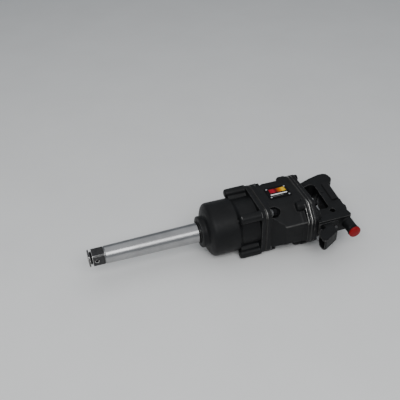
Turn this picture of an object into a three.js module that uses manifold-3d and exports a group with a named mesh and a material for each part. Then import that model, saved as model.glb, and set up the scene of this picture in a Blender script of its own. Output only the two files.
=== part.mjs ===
// Air-driven impact wrench, 1 inch square drive, extended anvil, D-shaped rear handle.
// Millimetres, +Z up. The tool lies on its side: X runs from the drive end to the handle,
// +Y is the top of the tool, -Y is the side with the air inlet.
import * as THREE from "three";
import { mergeVertices } from "three/addons/utils/BufferGeometryUtils.js";
import Module from "manifold-3d";

const wasm = await Module();
wasm.setup();

// Clearances
const GAP = 0.3; // between pieces that touch in the real tool
const RUN = 0.3; // radial running clearance of turning pieces

// Square drive and anvil (X is measured from the drive end)
const DRIVE_AF = 25.4; // across the flats
const DRIVE_CORNER_R = 16.75; // turned corners
const DRIVE_END = 30;
const GROOVE_X = [3.4, 7.4];
const GROOVE_R = 10.4;
const DRIVE_HOLE_X = 15.5;
const DRIVE_HOLE_R = 3.2;
const SHAFT_R = [17.15, 19.5]; // tapers from the drive to the nose
const SHAFT_END = 215.5;
const JOURNAL_R = 18;
const CORE_R = 15;
const LUG_R = 18.6;
const PILOT_R = 9.9;

// Hammer case
const CASE_X = [217, 337.4];
const NOSE_R = 31;
const BUSH_R = 22; // bushing and seal, outside
const DRUM_R = 53;
const WAIST_R = 47;
const CASE_BORE_R = 44;
const CAVITY_X = 254;
const FLANGE_HALF = 53;
const FLANGE_CORNER_R = 16;
const CASE_FLANGE_X = 328;
const CASE_GASKET_X = [337.6, 338.4];

// Bolt circle shared by the front and the rear joint: four corners of a square
const BOLT_AT = 43.5;
const BOLT_R = 3.2;
const BOLT_HOLE_R = 3.6;
const BOLT_HEAD_R = 6.5;
const CORNERS = [
  [1, 1],
  [1, -1],
  [-1, -1],
  [-1, 1],
];

// Hammer cage
const CAGE_R = 42;
const CAGE_X = [256, 320];
const CAGE_PLATE = 6.5;
const HAMMER_R = 38;
const HAMMER_BORE_R = 21;
const HAMMER_HALF = 27.5; // flats beside the cage webs
const HAMMER_TOOTH_R = 16.6;
const HAMMER_LENGTH = 23.5;
const PIN_AT = 31;
const PIN_R = 5;
const SWING = THREE.MathUtils.degToRad(2.5);
const HEX_AF = 15;

// Motor
const HOUSING_X = [338.6, 421];
const HOUSING_FLANGE_X = 348;
const HOUSING_HALF = 52;
const REAR_FLANGE_X = 415;
const MOTOR_BORE_R = 44.3;
const MOTOR_R = 44;
const CYLINDER_X = [343.1, 402.3];
const CYLINDER_BORE_R = 33;
const ECCENTRIC = 2.5;
const ROTOR_R = 30;
const VANES = 6;
const VANE_THICK = 4;
const VANE_SLOT_DEPTH = 13;
const BEARING_FRONT = { x: [334.4, 341.2], outer: 17, inner: 9.3 };
const BEARING_REAR = { x: [404.3, 411.3], outer: 15, inner: 7.8 };
const END_PLATE_FRONT_X = [334.2, 342.8];
const END_PLATE_REAR_X = [402.6, 411.6];

// Back head and handle
const VALVE_PLATE_X = [422.4, 428.6];
const HANDLE_FLANGE_X = [428.9, 436];
const HANDLE_HALF = 17; // half width of the D loop
const GRIP_LEAN = 0.08; // X per unit of Y
const GRIP_X = [481, 514.5]; // front and back of the grip at Y = 0
const ARM_RISE = 0.26; // Y per unit of X
const SLEEVE_THICK = 2.6;
const HEAD_HALF = 33; // half width of the block behind the flange
const HEAD_X = 445.5;
const LEVER_END = 452.5;
const SUPPLY = { y: -59, z: 8.5, r: 4.8 };
const EXHAUST = { y: -58, z: -6.5, r: 4.8 };
const SCREEN_Y = [-77.6, -76.4];
const REVERSE = { y: -4, r: 10 };
const TRIGGER_PIN = { x: 487.5, y: 12, r: 2.5 };
const TRIGGER_WINDOW = { x: 480, y: -47.5, r: 5.5 };
const VALVE_Y = -34;
const INLET = { x: 499.5, r: 11, y: [-64, -97], bore: 8 };
const BUSHING_AF = 21;
const BUSHING_END = -102;
const BUSHING_BORE_R = 5;
const PLUG_R = 12.2;

// Name plate
const PLATE = { x: [359.5, 405.5], y: [-15.5, 19.5], thick: 0.8 };
const RIVETS = [
  [364, 15],
  [401.5, 15],
  [401.5, -11],
  [364, -11],
];

const BLACK_PAINT = [0x1d1f21, 0.5, 0.35];
const DARK_STEEL = [0x3a3b3d, 0.45, 0.85];
const GROUND_STEEL = [0xb9bbbd, 0.25, 1.0];
const ZINC = [0xa8abae, 0.35, 0.95];
const CAST_IRON = [0x54565a, 0.6, 0.8];
const BRONZE = [0xa8813e, 0.4, 0.9];
const RUBBER = [0x151617, 0.85, 0.0];
const GASKET = [0x6b6a5e, 0.8, 0.0];
const RED_PLASTIC = [0xc41c24, 0.4, 0.0];
const PHENOLIC = [0x5a3a22, 0.6, 0.0];

// ---------------------------------------------------------------- solids

// A closed three.js geometry as a solid whose faces point outwards.
function solid(geometry) {
  const bare = geometry.index ? geometry.toNonIndexed() : geometry.clone();
  bare.deleteAttribute("normal");
  bare.deleteAttribute("uv");
  const merged = mergeVertices(bare, 1e-4);
  const index = merged.index.array;
  const make = (second, third) => {
    const faces = [];
    for (let i = 0; i < index.length; i += 3) {
      const [a, b, c] = [index[i], index[i + second], index[i + third]];
      if (a !== b && b !== c && c !== a) faces.push(a, b, c);
    }
    return new wasm.Manifold(
      new wasm.Mesh({
        numProp: 3,
        vertProperties: merged.attributes.position.array,
        triVerts: new Uint32Array(faces),
      }),
    );
  };
  const made = make(1, 2);
  return made.volume() > 0 ? made : make(2, 1);
}

const join = (...parts) => parts.reduce((all, one) => all.add(one));
const cut = (body, ...tools) => tools.reduce((left, tool) => left.subtract(tool), body);

// Revolves [x, radius] points about the X axis.
function turned(profile, segments = 32) {
  const points = profile.map(([x, r]) => new THREE.Vector2(r, x));
  return solid(new THREE.LatheGeometry(points, segments).rotateZ(-Math.PI / 2));
}

// A round bar along X from x0 to x1, centred on (y, z).
function barX(x0, x1, r, y = 0, z = 0, segments = 20) {
  const bar = new THREE.CylinderGeometry(r, r, x1 - x0, segments).rotateZ(-Math.PI / 2);
  return solid(bar.translate((x0 + x1) / 2, y, z));
}

function barY(y0, y1, r, x, z = 0, segments = 20) {
  return solid(new THREE.CylinderGeometry(r, r, y1 - y0, segments).translate(x, (y0 + y1) / 2, z));
}

function barZ(z0, z1, r, x, y, segments = 20) {
  const bar = new THREE.CylinderGeometry(r, r, z1 - z0, segments).rotateX(Math.PI / 2);
  return solid(bar.translate(x, y, (z0 + z1) / 2));
}

// A ring of rectangular section along X.
const ringX = (x0, x1, inner, outer, segments = 32) =>
  turned(
    [
      [x0, inner],
      [x1, inner],
      [x1, outer],
      [x0, outer],
      [x0, inner],
    ],
    segments,
  );

function block(x0, x1, y0, y1, z0, z1) {
  const box = new THREE.BoxGeometry(x1 - x0, y1 - y0, z1 - z0);
  return solid(box.translate((x0 + x1) / 2, (y0 + y1) / 2, (z0 + z1) / 2));
}

// A closed outline with a rounded corner at each [u, v, radius].
function outline(corners) {
  const shape = new THREE.Shape();
  corners.forEach(([u, v, radius = 0], i) => {
    const corner = new THREE.Vector2(u, v);
    const [before, after] = [corners.at(i - 1), corners[(i + 1) % corners.length]].map(
      ([a, b]) => new THREE.Vector2(a, b),
    );
    const toward = (other) => {
      const step = other.clone().sub(corner);
      return step.setLength(Math.min(radius, step.length() * 0.48)).add(corner);
    };
    const [start, end] = [toward(before), toward(after)];
    if (i === 0) shape.moveTo(start.x, start.y);
    else shape.lineTo(start.x, start.y);
    if (radius > 0) shape.quadraticCurveTo(u, v, end.x, end.y);
  });
  shape.closePath();
  return shape;
}

function extruded(shape, depth, bevel, curveSegments) {
  return new THREE.ExtrudeGeometry(shape, {
    depth: depth - 2 * bevel,
    curveSegments,
    bevelEnabled: bevel > 0,
    bevelSize: bevel,
    bevelThickness: bevel,
    bevelOffset: -bevel,
    bevelSegments: 2,
  }).translate(0, 0, bevel);
}

// Extrudes an outline drawn in (y, z) along X; rise shears it toward +Y away from x = level.
function alongX(shape, x0, x1, bevel = 0, curveSegments = 4, rise = 0, level = 0) {
  const axes = new THREE.Matrix4().makeBasis(
    new THREE.Vector3(0, 1, 0),
    new THREE.Vector3(0, 0, 1),
    new THREE.Vector3(1, 0, 0),
  );
  const shear = new THREE.Matrix4().makeShear(rise, 0, 0, 0, 0, 0);
  const body = extruded(shape, x1 - x0, bevel, curveSegments).applyMatrix4(axes);
  return solid(body.translate(x0 - level, 0, 0).applyMatrix4(shear).translate(level, 0, 0));
}

// Extrudes an outline drawn in (x, z) along Y; lean shears it toward +X away from y = 0.
function alongY(shape, y0, y1, lean) {
  const axes = new THREE.Matrix4().makeBasis(
    new THREE.Vector3(1, 0, 0),
    new THREE.Vector3(0, 0, 1),
    new THREE.Vector3(0, 1, 0),
  );
  const shear = new THREE.Matrix4().makeShear(0, 0, lean, 0, 0, 0);
  return solid(extruded(shape, y1 - y0, 0, 4).applyMatrix4(axes).translate(0, y0, 0).applyMatrix4(shear));
}

// Extrudes an outline drawn in (x, y) along Z.
const alongZ = (shape, z0, z1, bevel = 0, curveSegments = 4) =>
  solid(extruded(shape, z1 - z0, bevel, curveSegments).translate(0, 0, z0));

const square = (half, radius) =>
  outline([
    [half, half, radius],
    [-half, half, radius],
    [-half, -half, radius],
    [half, -half, radius],
  ]);

// A hexagon across the given flats, with a flat on the second axis.
function hexagon(acrossFlats) {
  const r = acrossFlats / Math.sqrt(3);
  const at = (i) => [r * Math.cos((i * Math.PI) / 3), r * Math.sin((i * Math.PI) / 3)];
  return outline([0, 1, 2, 3, 4, 5].map(at));
}

const atCorners = (make) => CORNERS.map(([sy, sz]) => make(sy * BOLT_AT, sz * BOLT_AT));

// ---------------------------------------------------------------- drive end

function squareDrive(x0, x1) {
  const bar = alongX(square(DRIVE_AF / 2), x0, x1);
  const corners = turned([
    [x0, 0],
    [x0, DRIVE_CORNER_R - 1.6],
    [x0 + 1.6, DRIVE_CORNER_R],
    [x1, DRIVE_CORNER_R],
    [x1, 0],
  ]);
  return bar.intersect(corners);
}

// One driven lug on the anvil's core, between two X stations, on the side of sign.
function anvilLug(x0, x1, sign) {
  const half = THREE.MathUtils.degToRad(16);
  const wedge = outline([
    [0, 0],
    [30 * Math.tan(-half), sign * 30],
    [30 * Math.tan(half), sign * 30],
  ]);
  return alongX(wedge, x0, x1).intersect(barX(x0, x1, LUG_R, 0, 0, 32));
}

function anvil() {
  const body = turned([
    [DRIVE_END, 0],
    [DRIVE_END, DRIVE_CORNER_R - 0.9],
    [DRIVE_END + 2.2, SHAFT_R[0]],
    [SHAFT_END - 2, SHAFT_R[1]],
    [SHAFT_END, JOURNAL_R + 0.4],
    [SHAFT_END + 1, JOURNAL_R],
    [249.3, JOURNAL_R],
    [249.3, 23.5],
    [253.3, 23.5],
    [253.3, CORE_R],
    [313, CORE_R],
    [313, PILOT_R],
    [319, PILOT_R],
    [319.4, PILOT_R - 1],
    [319.4, 0],
  ]);
  const neck = barX(GROOVE_X[0] - 0.4, GROOVE_X[1] + 0.4, GROOVE_R, 0, 0, 32);
  const lip = squareDrive(0, GROOVE_X[0]);
  const drive = squareDrive(GROOVE_X[1], DRIVE_END + 0.4);
  const whole = join(
    body,
    neck,
    lip,
    drive,
    anvilLug(266, 284, 1),
    anvilLug(292, 310, -1),
  );
  return cut(whole, barY(-20, 20, DRIVE_HOLE_R, DRIVE_HOLE_X, 0, 16));
}

function retainingRing() {
  const ring = ringX(GROOVE_X[0] + 0.6, GROOVE_X[1] - 0.6, GROOVE_R + 0.4, 12.4, 32);
  return cut(ring, block(0, 10, -20, 0, -1.6, 1.6));
}

// ---------------------------------------------------------------- hammer case

function hammerCase() {
  const [front, rear] = CASE_X;
  const shell = turned(
    [
      [front, 0],
      [front, NOSE_R - 1.5],
      [front + 1.5, NOSE_R],
      [front + 10, NOSE_R],
      [front + 12, NOSE_R + 2],
      [front + 14, 43],
      [front + 17, 49.5],
      [front + 21.5, 53],
      [front + 27, DRUM_R],
      [284, DRUM_R],
      [288, DRUM_R - 1.6],
      [293, WAIST_R],
      [rear, WAIST_R],
      [rear, 0],
    ],
    40,
  );
  const flange = alongX(square(FLANGE_HALF, FLANGE_CORNER_R), CASE_FLANGE_X, rear);
  const boss = (y, z) => {
    const pillar = turned(
      [
        [286, 0],
        [286, 5],
        [288.5, 9],
        [CASE_FLANGE_X + 1, 9.5],
        [CASE_FLANGE_X + 1, 0],
      ],
      14,
    ).translate([0, y, z]);
    const angle = Math.atan2(z, y);
    const web = solid(
      new THREE.BoxGeometry(40, 22, 15)
        .translate(CASE_FLANGE_X - 19, 47, 0)
        .rotateX(angle),
    );
    return pillar.add(web);
  };
  const inside = turned(
    [
      [front - 1, 0],
      [front - 1, BUSH_R + GAP],
      [246.7, BUSH_R + GAP],
      [246.7, 25],
      [CAVITY_X, 25],
      [CAVITY_X + 1.5, CASE_BORE_R],
      [CASE_FLANGE_X + 5, CASE_BORE_R],
      [CASE_FLANGE_X + 5, MOTOR_BORE_R + 0.1],
      [rear + 1, MOTOR_BORE_R + 0.1],
      [rear + 1, 0],
    ],
    32,
  );
  const holes = atCorners((y, z) => barX(306, rear + 1, BOLT_HOLE_R, y, z, 10));
  return cut(join(shell, flange, ...atCorners(boss)), inside, ...holes);
}

const anvilBushing = () => ringX(222.4, 246.4, JOURNAL_R + RUN, BUSH_R);

function noseSeal() {
  const [x0, x1] = [217.4, 222.1];
  return turned(
    [
      [x0, JOURNAL_R + RUN],
      [x1, JOURNAL_R + RUN],
      [x1, BUSH_R],
      [x0, BUSH_R],
      [x0 + 1, BUSH_R - 1.8],
      [x0 + 1, JOURNAL_R + 1.2],
      [x0, JOURNAL_R + RUN],
    ],
    32,
  );
}

const thrustWasher = () => ringX(247, 249, JOURNAL_R + RUN, 24);

// ---------------------------------------------------------------- hammer cage

function hammerFrame() {
  const [front, rear] = CAGE_X;
  const [frontIn, rearIn] = [front + CAGE_PLATE, rear - CAGE_PLATE];
  const plates = [barX(front, frontIn, CAGE_R, 0, 0, 32), barX(rearIn, rear, CAGE_R, 0, 0, 32)];
  const webs = [1, -1].map((side) => {
    const slab = block(frontIn - 0.5, rearIn + 0.5, -22, 22, side < 0 ? -50 : 31, side < 0 ? -31 : 50);
    return slab.intersect(barX(front, rear, CAGE_R, 0, 0, 32));
  });
  const hub = barX(rear - 0.5, 333.8, 14, 0, 0, 32);
  const pinHoles = [PIN_AT, -PIN_AT].map((y) => barX(front - 1, rear + 1, PIN_R + GAP, y, 0, 20));
  return cut(
    join(...plates, ...webs, hub),
    barX(front - 1, frontIn + 1, CORE_R + 1, 0, 0, 32),
    barX(rearIn - 1, rear + 1, PILOT_R + RUN, 0, 0, 32),
    alongX(hexagon(HEX_AF + 2 * GAP), rear, 335),
    ...pinHoles,
  );
}

// A hammer ring that swings on the pin at +Y; the other pin passes through its notch.
function hammer(x0) {
  const x1 = x0 + HAMMER_LENGTH;
  const room = PIN_R + 2 * PIN_AT * SWING + 0.8;
  const ring = ringX(x0, x1, HAMMER_BORE_R, HAMMER_R, 36);
  const body = ring.intersect(block(x0 - 1, x1 + 1, -60, 60, -HAMMER_HALF, HAMMER_HALF));
  const half = THREE.MathUtils.degToRad(18);
  const wedge = outline([
    [0, 0],
    [-22.5, 22.5 * Math.tan(half)],
    [-22.5, -22.5 * Math.tan(half)],
  ]);
  const tooth = cut(alongX(wedge, x0, x1), barX(x0 - 1, x1 + 1, HAMMER_TOOTH_R, 0, 0, 32));
  return cut(
    join(body, tooth),
    barX(x0 - 1, x1 + 1, PIN_R + RUN, PIN_AT, 0, 20),
    block(x0 - 1, x1 + 1, -60, -PIN_AT + PIN_R + 0.4, -room, room),
  );
}

const hammerPin = (y) => barX(CAGE_X[0] + 0.4, CAGE_X[1] - 0.4, PIN_R, y, 0, 20);

// ---------------------------------------------------------------- joints between castings

function caseGasket() {
  const [x0, x1] = CASE_GASKET_X;
  const sheet = alongX(square(FLANGE_HALF - 0.5, FLANGE_CORNER_R), x0, x1);
  const holes = atCorners((y, z) => barX(x0 - 1, x1 + 1, BOLT_HOLE_R, y, z, 10));
  return cut(sheet, barX(x0 - 1, x1 + 1, MOTOR_BORE_R, 0, 0, 32), ...holes);
}

// Hexagon bolt lying along X: shank from x0 to x1, head beyond it.
function hexBolt(x0, x1, headLength, washer, y, z) {
  const shank = barX(x0, x1 + 0.5, BOLT_R, 0, 0, 10);
  const collar = turned(
    [
      [x1, 0],
      [x1, washer],
      [x1 + 1.2, washer],
      [x1 + 1.2, 0],
    ],
    20,
  );
  const crown = turned(
    [
      [x1, 0],
      [x1, BOLT_HEAD_R + 1],
      [x1 + headLength - 1, BOLT_HEAD_R + 1],
      [x1 + headLength, BOLT_HEAD_R - 0.6],
      [x1 + headLength, 0],
    ],
    12,
  );
  const head = alongX(hexagon(2 * BOLT_HEAD_R * 0.9), x1, x1 + headLength).intersect(crown);
  return join(shank, collar, head).translate([0, y, z]);
}

const caseBolt = (y, z) => hexBolt(308, 352.2, 7.2, 7.2, y, z);

// Split spring washer under each case bolt's head.
function springWasher(y, z) {
  const ring = ringX(348.3, 351.9, BOLT_R + GAP, 7, 20);
  const slit = block(346, 354, 0, 9, -0.8, 0.8);
  return cut(ring, slit).translate([0, y, z]);
}

// ---------------------------------------------------------------- motor

function endPlate([x0, x1], bearing, pocket, shaft) {
  const disc = turned(
    [
      [x0, 0],
      [x0, MOTOR_R - 0.6],
      [x0 + 0.6, MOTOR_R],
      [x1 - 0.6, MOTOR_R],
      [x1, MOTOR_R - 0.6],
      [x1, 0],
    ],
    32,
  );
  const ports = [-1, 1].map((side) => barX(x0 - 1, x1 + 1, 3, -24, side * 14, 10));
  return cut(
    disc,
    barX(pocket[0], pocket[1], bearing.outer + GAP, 0, 0, 32),
    barX(x0 - 1, x1 + 1, shaft + 1.2, 0, 0, 32),
    ...ports,
  );
}

const frontEndPlate = () => endPlate(END_PLATE_FRONT_X, BEARING_FRONT, [333, 341.5], 9);
const rearEndPlate = () => endPlate(END_PLATE_REAR_X, BEARING_REAR, [404, 413], 7.5);

// A shielded ball bearing as one ring with a recessed shield on its front face.
function bearing({ x, outer, inner }) {
  const [x0, x1] = x;
  const [a, b] = [inner + 2, outer - 2];
  return turned(
    [
      [x0, inner],
      [x0, a],
      [x0 + 0.6, a + 0.3],
      [x0 + 0.6, b - 0.3],
      [x0, b],
      [x0, outer],
      [x1, outer],
      [x1, inner],
      [x0, inner],
    ],
    28,
  );
}

function cylinder() {
  const [x0, x1] = CYLINDER_X;
  const sleeve = barX(x0, x1, MOTOR_R, 0, 0, 32);
  const bore = barX(x0 - 1, x1 + 1, CYLINDER_BORE_R, -ECCENTRIC, 0, 32);
  const ports = [352, 362, 372.5, 383, 393].map((x) => barY(-46, -30, 3, x, 0, 10));
  return cut(sleeve, bore, ...ports);
}

const vaneAngle = (i) => ((i + 0.5) * 2 * Math.PI) / VANES;

function rotor() {
  const [x0, x1] = [CYLINDER_X[0] + GAP, CYLINDER_X[1] - GAP];
  const body = turned(
    [
      [334, 0],
      [334, 9],
      [x0, 9],
      [x0, ROTOR_R],
      [x1, ROTOR_R],
      [x1, 7.5],
      [413.4, 7.5],
      [414, 6.8],
      [414, 0],
    ],
    32,
  );
  const slots = Array.from({ length: VANES }, (_, i) => {
    const depth = VANE_SLOT_DEPTH + 4;
    const slot = new THREE.BoxGeometry(x1 - x0 + 2, depth, VANE_THICK + 0.4)
      .translate((x0 + x1) / 2, ROTOR_R - VANE_SLOT_DEPTH + depth / 2, 0)
      .rotateX(vaneAngle(i));
    return solid(slot);
  });
  return cut(join(body, alongX(hexagon(HEX_AF), 322, 334.5)), ...slots);
}

function vane(i) {
  const [x0, x1] = [CYLINDER_X[0] + 2 * GAP, CYLINDER_X[1] - 2 * GAP];
  const [low, high] = [ROTOR_R - VANE_SLOT_DEPTH + 0.3, ROTOR_R - 0.3];
  const blade = new THREE.BoxGeometry(x1 - x0, high - low, VANE_THICK)
    .translate((x0 + x1) / 2, (low + high) / 2, 0)
    .rotateX(vaneAngle(i));
  return solid(blade);
}

// Outline shared by the rear flange, its gasket, the valve plate and the handle's flange.
const rearOutline = (inset) =>
  outline([
    [54 - inset, FLANGE_HALF - inset, 15],
    [-49, FLANGE_HALF - inset, 7],
    [-74 + inset, 26, 9],
    [-74 + inset, -26, 9],
    [-49, -FLANGE_HALF + inset, 7],
    [54 - inset, -FLANGE_HALF + inset, 15],
  ]);

function motorHousing() {
  const [front, rear] = HOUSING_X;
  const flange = alongX(square(FLANGE_HALF, FLANGE_CORNER_R), front, HOUSING_FLANGE_X);
  const trunk = (grow) =>
    outline([
      [50 + grow, 41, 6],
      [38, HOUSING_HALF, 7],
      [-32, HOUSING_HALF, 28],
      [-70 - grow, 22, 7],
      [-70 - grow, -22, 7],
      [-32, -HOUSING_HALF, 28],
      [38, -HOUSING_HALF, 7],
      [50 + grow, -41, 6],
    ]);
  const body = join(
    alongX(trunk(0), HOUSING_FLANGE_X - 1, REAR_FLANGE_X + 1),
    alongX(trunk(0.9), 402, REAR_FLANGE_X + 1),
  );
  // The underside flares from the front flange to the full depth of the exhaust belly.
  const neck = alongZ(
    outline([
      [HOUSING_FLANGE_X - 2, -48.3],
      [373, -71],
      [373, -90],
      [HOUSING_FLANGE_X - 2, -90],
    ]),
    -70,
    70,
  );
  const pocket = (y, z) =>
    turned(
      [
        [HOUSING_FLANGE_X, 0],
        [HOUSING_FLANGE_X, 10.5],
        [360, 10.5],
        [366, 6],
        [369, 0],
      ],
      14,
    ).translate([0, y, z]);
  const boss = (y, z) =>
    turned(
      [
        [400, 0],
        [400, 6],
        [402.5, 9.5],
        [REAR_FLANGE_X + 1, 9.5],
        [REAR_FLANGE_X + 1, 0],
      ],
      14,
    ).translate([0, y, z]);
  const rearFlange = alongX(rearOutline(0), REAR_FLANGE_X, rear);
  const belly = block(378, 408, -64, -40, -19, 19);
  const rivetHoles = RIVETS.map(([x, y]) => barZ(HOUSING_HALF - 5, HOUSING_HALF + 1, 1.5, x, y, 8));
  return cut(
    join(flange, cut(body, neck, ...atCorners(pocket)), ...atCorners(boss), rearFlange),
    barX(front - 1, 412, MOTOR_BORE_R, 0, 0, 32),
    barX(411, rear + 1, 16, 0, 0, 32),
    belly,
    barX(400, rear + 1, EXHAUST.r, EXHAUST.y, EXHAUST.z, 12),
    barX(410, rear + 1, 4, -28, 14, 10),
    barX(410, rear + 1, 4, -28, -14, 10),
    ...atCorners((y, z) => barX(front - 1, HOUSING_FLANGE_X + 1, BOLT_HOLE_R, y, z, 10)),
    ...atCorners((y, z) => barX(403, rear + 1, BOLT_HOLE_R, y, z, 10)),
    ...rivetHoles,
  );
}

// ---------------------------------------------------------------- back head

function rearGasket() {
  const [x0, x1] = [HOUSING_X[1] + 0.2, VALVE_PLATE_X[0] - 0.2];
  return cut(
    alongX(rearOutline(0.8), x0, x1),
    barX(x0 - 1, x1 + 1, 34, 0, 0, 32),
    barX(x0 - 1, x1 + 1, EXHAUST.r + 0.6, EXHAUST.y, EXHAUST.z, 12),
    ...atCorners((y, z) => barX(x0 - 1, x1 + 1, BOLT_HOLE_R, y, z, 10)),
  );
}

function valvePlate() {
  const [x0, x1] = VALVE_PLATE_X;
  return cut(
    alongX(rearOutline(0), x0, x1),
    barX(x0 + 2.4, x1 + 1, REVERSE.r + GAP, REVERSE.y, 0, 32),
    block(x0 + 3, x1 + 1, SUPPLY.y, REVERSE.y - 6, SUPPLY.z - 4, SUPPLY.z + 2),
    barX(x0 - 1, x1 + 1, EXHAUST.r, EXHAUST.y, EXHAUST.z, 12),
    barX(x0 - 1, x1 + 1, 3.4, REVERSE.y - 4, 5, 10),
    barX(x0 - 1, x1 + 1, 3.4, REVERSE.y - 4, -5, 10),
    ...atCorners((y, z) => barX(x0 - 1, x1 + 1, BOLT_HOLE_R, y, z, 10)),
  );
}

// Side view of the loop, which rounds off where its limbs meet.
const loopSide = (grow) =>
  outline([
    [430, 48 + grow],
    [452, 52 + grow, 14],
    [482, 63.5 + grow, 22],
    [508, 71 + grow, 12],
    [526 + grow, 70 + grow, 14],
    [530 + grow, 48, 12],
    [517 + grow, 32, 12],
    [512 + grow, -20, 30],
    [508 + grow, -56, 14],
    [511 + grow, -74 - grow, 6],
    [430, -74 - grow],
  ]);

// A limb's section: a rectangle from u0 to u1, as wide as the handle, with rounded corners.
function limbSection(u0, u1, grow) {
  const half = HANDLE_HALF + grow;
  return outline([
    [u1 + grow, half, 9],
    [u0 - grow, half, 9],
    [u0 - grow, -half, 9],
    [u1 + grow, -half, 9],
  ]);
}

// The handle's loop: a leaning grip between two arms, grown by the given amount.
function loop(grow) {
  const [front, rear] = GRIP_X;
  const grip = (y0, y1, back) =>
    alongY(limbSection(front, back, grow), y0, y1, GRIP_LEAN);
  const upper = alongX(limbSection(34, 52, grow), 430, 526, 0, 4, ARM_RISE, 444);
  const lower = alongX(limbSection(-74, -38, grow), 430, 512);
  const limbs = join(
    grip(-74 - grow, 71 + grow, rear - SLEEVE_THICK),
    grip(36.5 - grow, 71 + grow, rear + 12),
    grip(-74 - grow, -19.5 + grow, rear),
    upper,
    lower,
  );
  return limbs.intersect(alongZ(loopSide(grow), -40, 40, 0, 5));
}

function handle() {
  const [x0, x1] = HANDLE_FLANGE_X;
  const flange = alongX(rearOutline(0), x0, x1);
  const head = alongX(
    outline([
      [45, HEAD_HALF, 14],
      [-67, HEAD_HALF, 14],
      [-67, -HEAD_HALF, 14],
      [45, -HEAD_HALF, 14],
    ]),
    x1 - 6,
    HEAD_X,
    5,
  );
  const inlet = barY(INLET.y[1], INLET.y[0], INLET.r, INLET.x, 0, 32);
  const capBoss = barX(500, 511, 11.5, VALVE_Y, 0, 28);
  const triggerSlot = alongZ(
    outline([
      [465, -51],
      [487.4, -51],
      [485.8, -34],
      [487, -4],
      [495.5, 6],
      [495.5, 20.5],
      [465, 20.5],
    ]),
    -9,
    9,
  );
  const valveBores = [
    barX(484, 496, 2.9, VALVE_Y, 0, 12),
    barX(492.2, 497.2, 4.6, VALVE_Y, 0, 16),
    barX(497, 513, 8.3, VALVE_Y, 0, 20),
    barX(511, 520, 10.3, VALVE_Y, 0, 24),
  ];
  const airways = [
    block(490.4, 496.6, -61, VALVE_Y, -4, 11.5),
    barX(x0 - 1, 494, SUPPLY.r, SUPPLY.y, SUPPLY.z, 12),
    block(498.2, 503.8, -72, VALVE_Y - 6, -7, 7),
    barY(INLET.y[1] - 1, -70, INLET.bore, INLET.x, 0, 32),
    barX(x0 - 1, 458, EXHAUST.r, EXHAUST.y, EXHAUST.z, 12),
    barY(-76, EXHAUST.y, EXHAUST.r, 456, EXHAUST.z, 12),
    barX(x0 - 1, HEAD_X + 1, REVERSE.r + RUN, REVERSE.y, 0, 32),
  ];
  const screwHoles = [442, 473].map((x) => barY(-75, -64, 2.2, x, 0, 8));
  const pinHole = barZ(-20, 20, TRIGGER_PIN.r + RUN, TRIGGER_PIN.x, TRIGGER_PIN.y, 20);
  const window = barZ(-20, 20, TRIGGER_WINDOW.r, TRIGGER_WINDOW.x, TRIGGER_WINDOW.y, 24);
  return cut(
    join(flange, head, loop(0), inlet, capBoss),
    triggerSlot,
    pinHole,
    window,
    ...valveBores,
    ...airways,
    ...screwHoles,
    ...atCorners((y, z) => barX(x0 - 1, x1 + 1, BOLT_HOLE_R, y, z, 10)),
  );
}

const handleBolt = (y, z) => hexBolt(404.5, HANDLE_FLANGE_X[1] + GAP, 7.6, 7.4, y, z);

// Moulded rubber that wraps the back and sides of the grip.
function gripSleeve() {
  const half = HANDLE_HALF + SLEEVE_THICK;
  const back = GRIP_X[1];
  const section = outline([
    [back, half, 10],
    [back - 20, half, 2],
    [back - 20, -half, 2],
    [back, -half, 10],
  ]);
  return cut(alongY(section, -19.2, 36.2, GRIP_LEAN), loop(GAP));
}

// ---------------------------------------------------------------- throttle

function trigger() {
  const lever = alongZ(
    outline([
      [482.5, 18, 3],
      [491.5, 18, 3],
      [493, 9, 3],
      [483, -2, 8],
      [478.5, -34, 3],
      [478.2, -46.5, 2],
      [472, -47.5, 2],
      [472.6, -34, 8],
      [474.5, 0, 10],
    ]),
    -8.4,
    8.4,
    0,
    3,
  );
  return cut(lever, barZ(-20, 20, TRIGGER_PIN.r + RUN, TRIGGER_PIN.x, TRIGGER_PIN.y, 20));
}

const triggerPin = () => barZ(-16.8, 16.8, TRIGGER_PIN.r, TRIGGER_PIN.x, TRIGGER_PIN.y, 20);

function throttleValve() {
  const poppet = [
    [479.6, 0],
    [479.6, 1.8],
    [480.4, 2.6],
    [496, 2.6],
    [497.3, 3.6],
    [497.5, 5.6],
    [500.4, 5.6],
    [500.8, 5.2],
    [500.8, 2.4],
    [506.6, 2.4],
    [507, 2],
    [507, 0],
  ];
  return turned(poppet, 16).translate([0, VALVE_Y, 0]);
}

class Helix extends THREE.Curve {
  constructor(x0, x1, radius, turns) {
    super();
    Object.assign(this, { x0, x1, radius, turns });
  }
  getPoint(t, target = new THREE.Vector3()) {
    const angle = t * this.turns * 2 * Math.PI;
    const x = this.x0 + (this.x1 - this.x0) * t;
    const { radius } = this;
    return target.set(x, VALVE_Y + radius * Math.cos(angle), radius * Math.sin(angle));
  }
}

function throttleSpring() {
  const wire = new THREE.Shape().absarc(0, 0, 0.6, 0, 2 * Math.PI);
  return solid(
    new THREE.ExtrudeGeometry(wire, {
      steps: 60,
      curveSegments: 2,
      extrudePath: new Helix(501.8, 513.7, 4.2, 5),
    }),
  );
}

function throttleCap() {
  const thread = turned(
    [
      [508, 5.8],
      [514.8, 5.8],
      [514.8, 0],
      [517, 0],
      [517.8, 8],
      [516.8, 9.8],
      [511.3, 9.8],
      [511.3, 8],
      [508, 8],
      [508, 5.8],
    ],
    20,
  ).translate([0, VALVE_Y, 0]);
  return cut(thread, block(516.2, 520, VALVE_Y - 12, VALVE_Y + 12, -1, 1));
}

// ---------------------------------------------------------------- inlet

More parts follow.
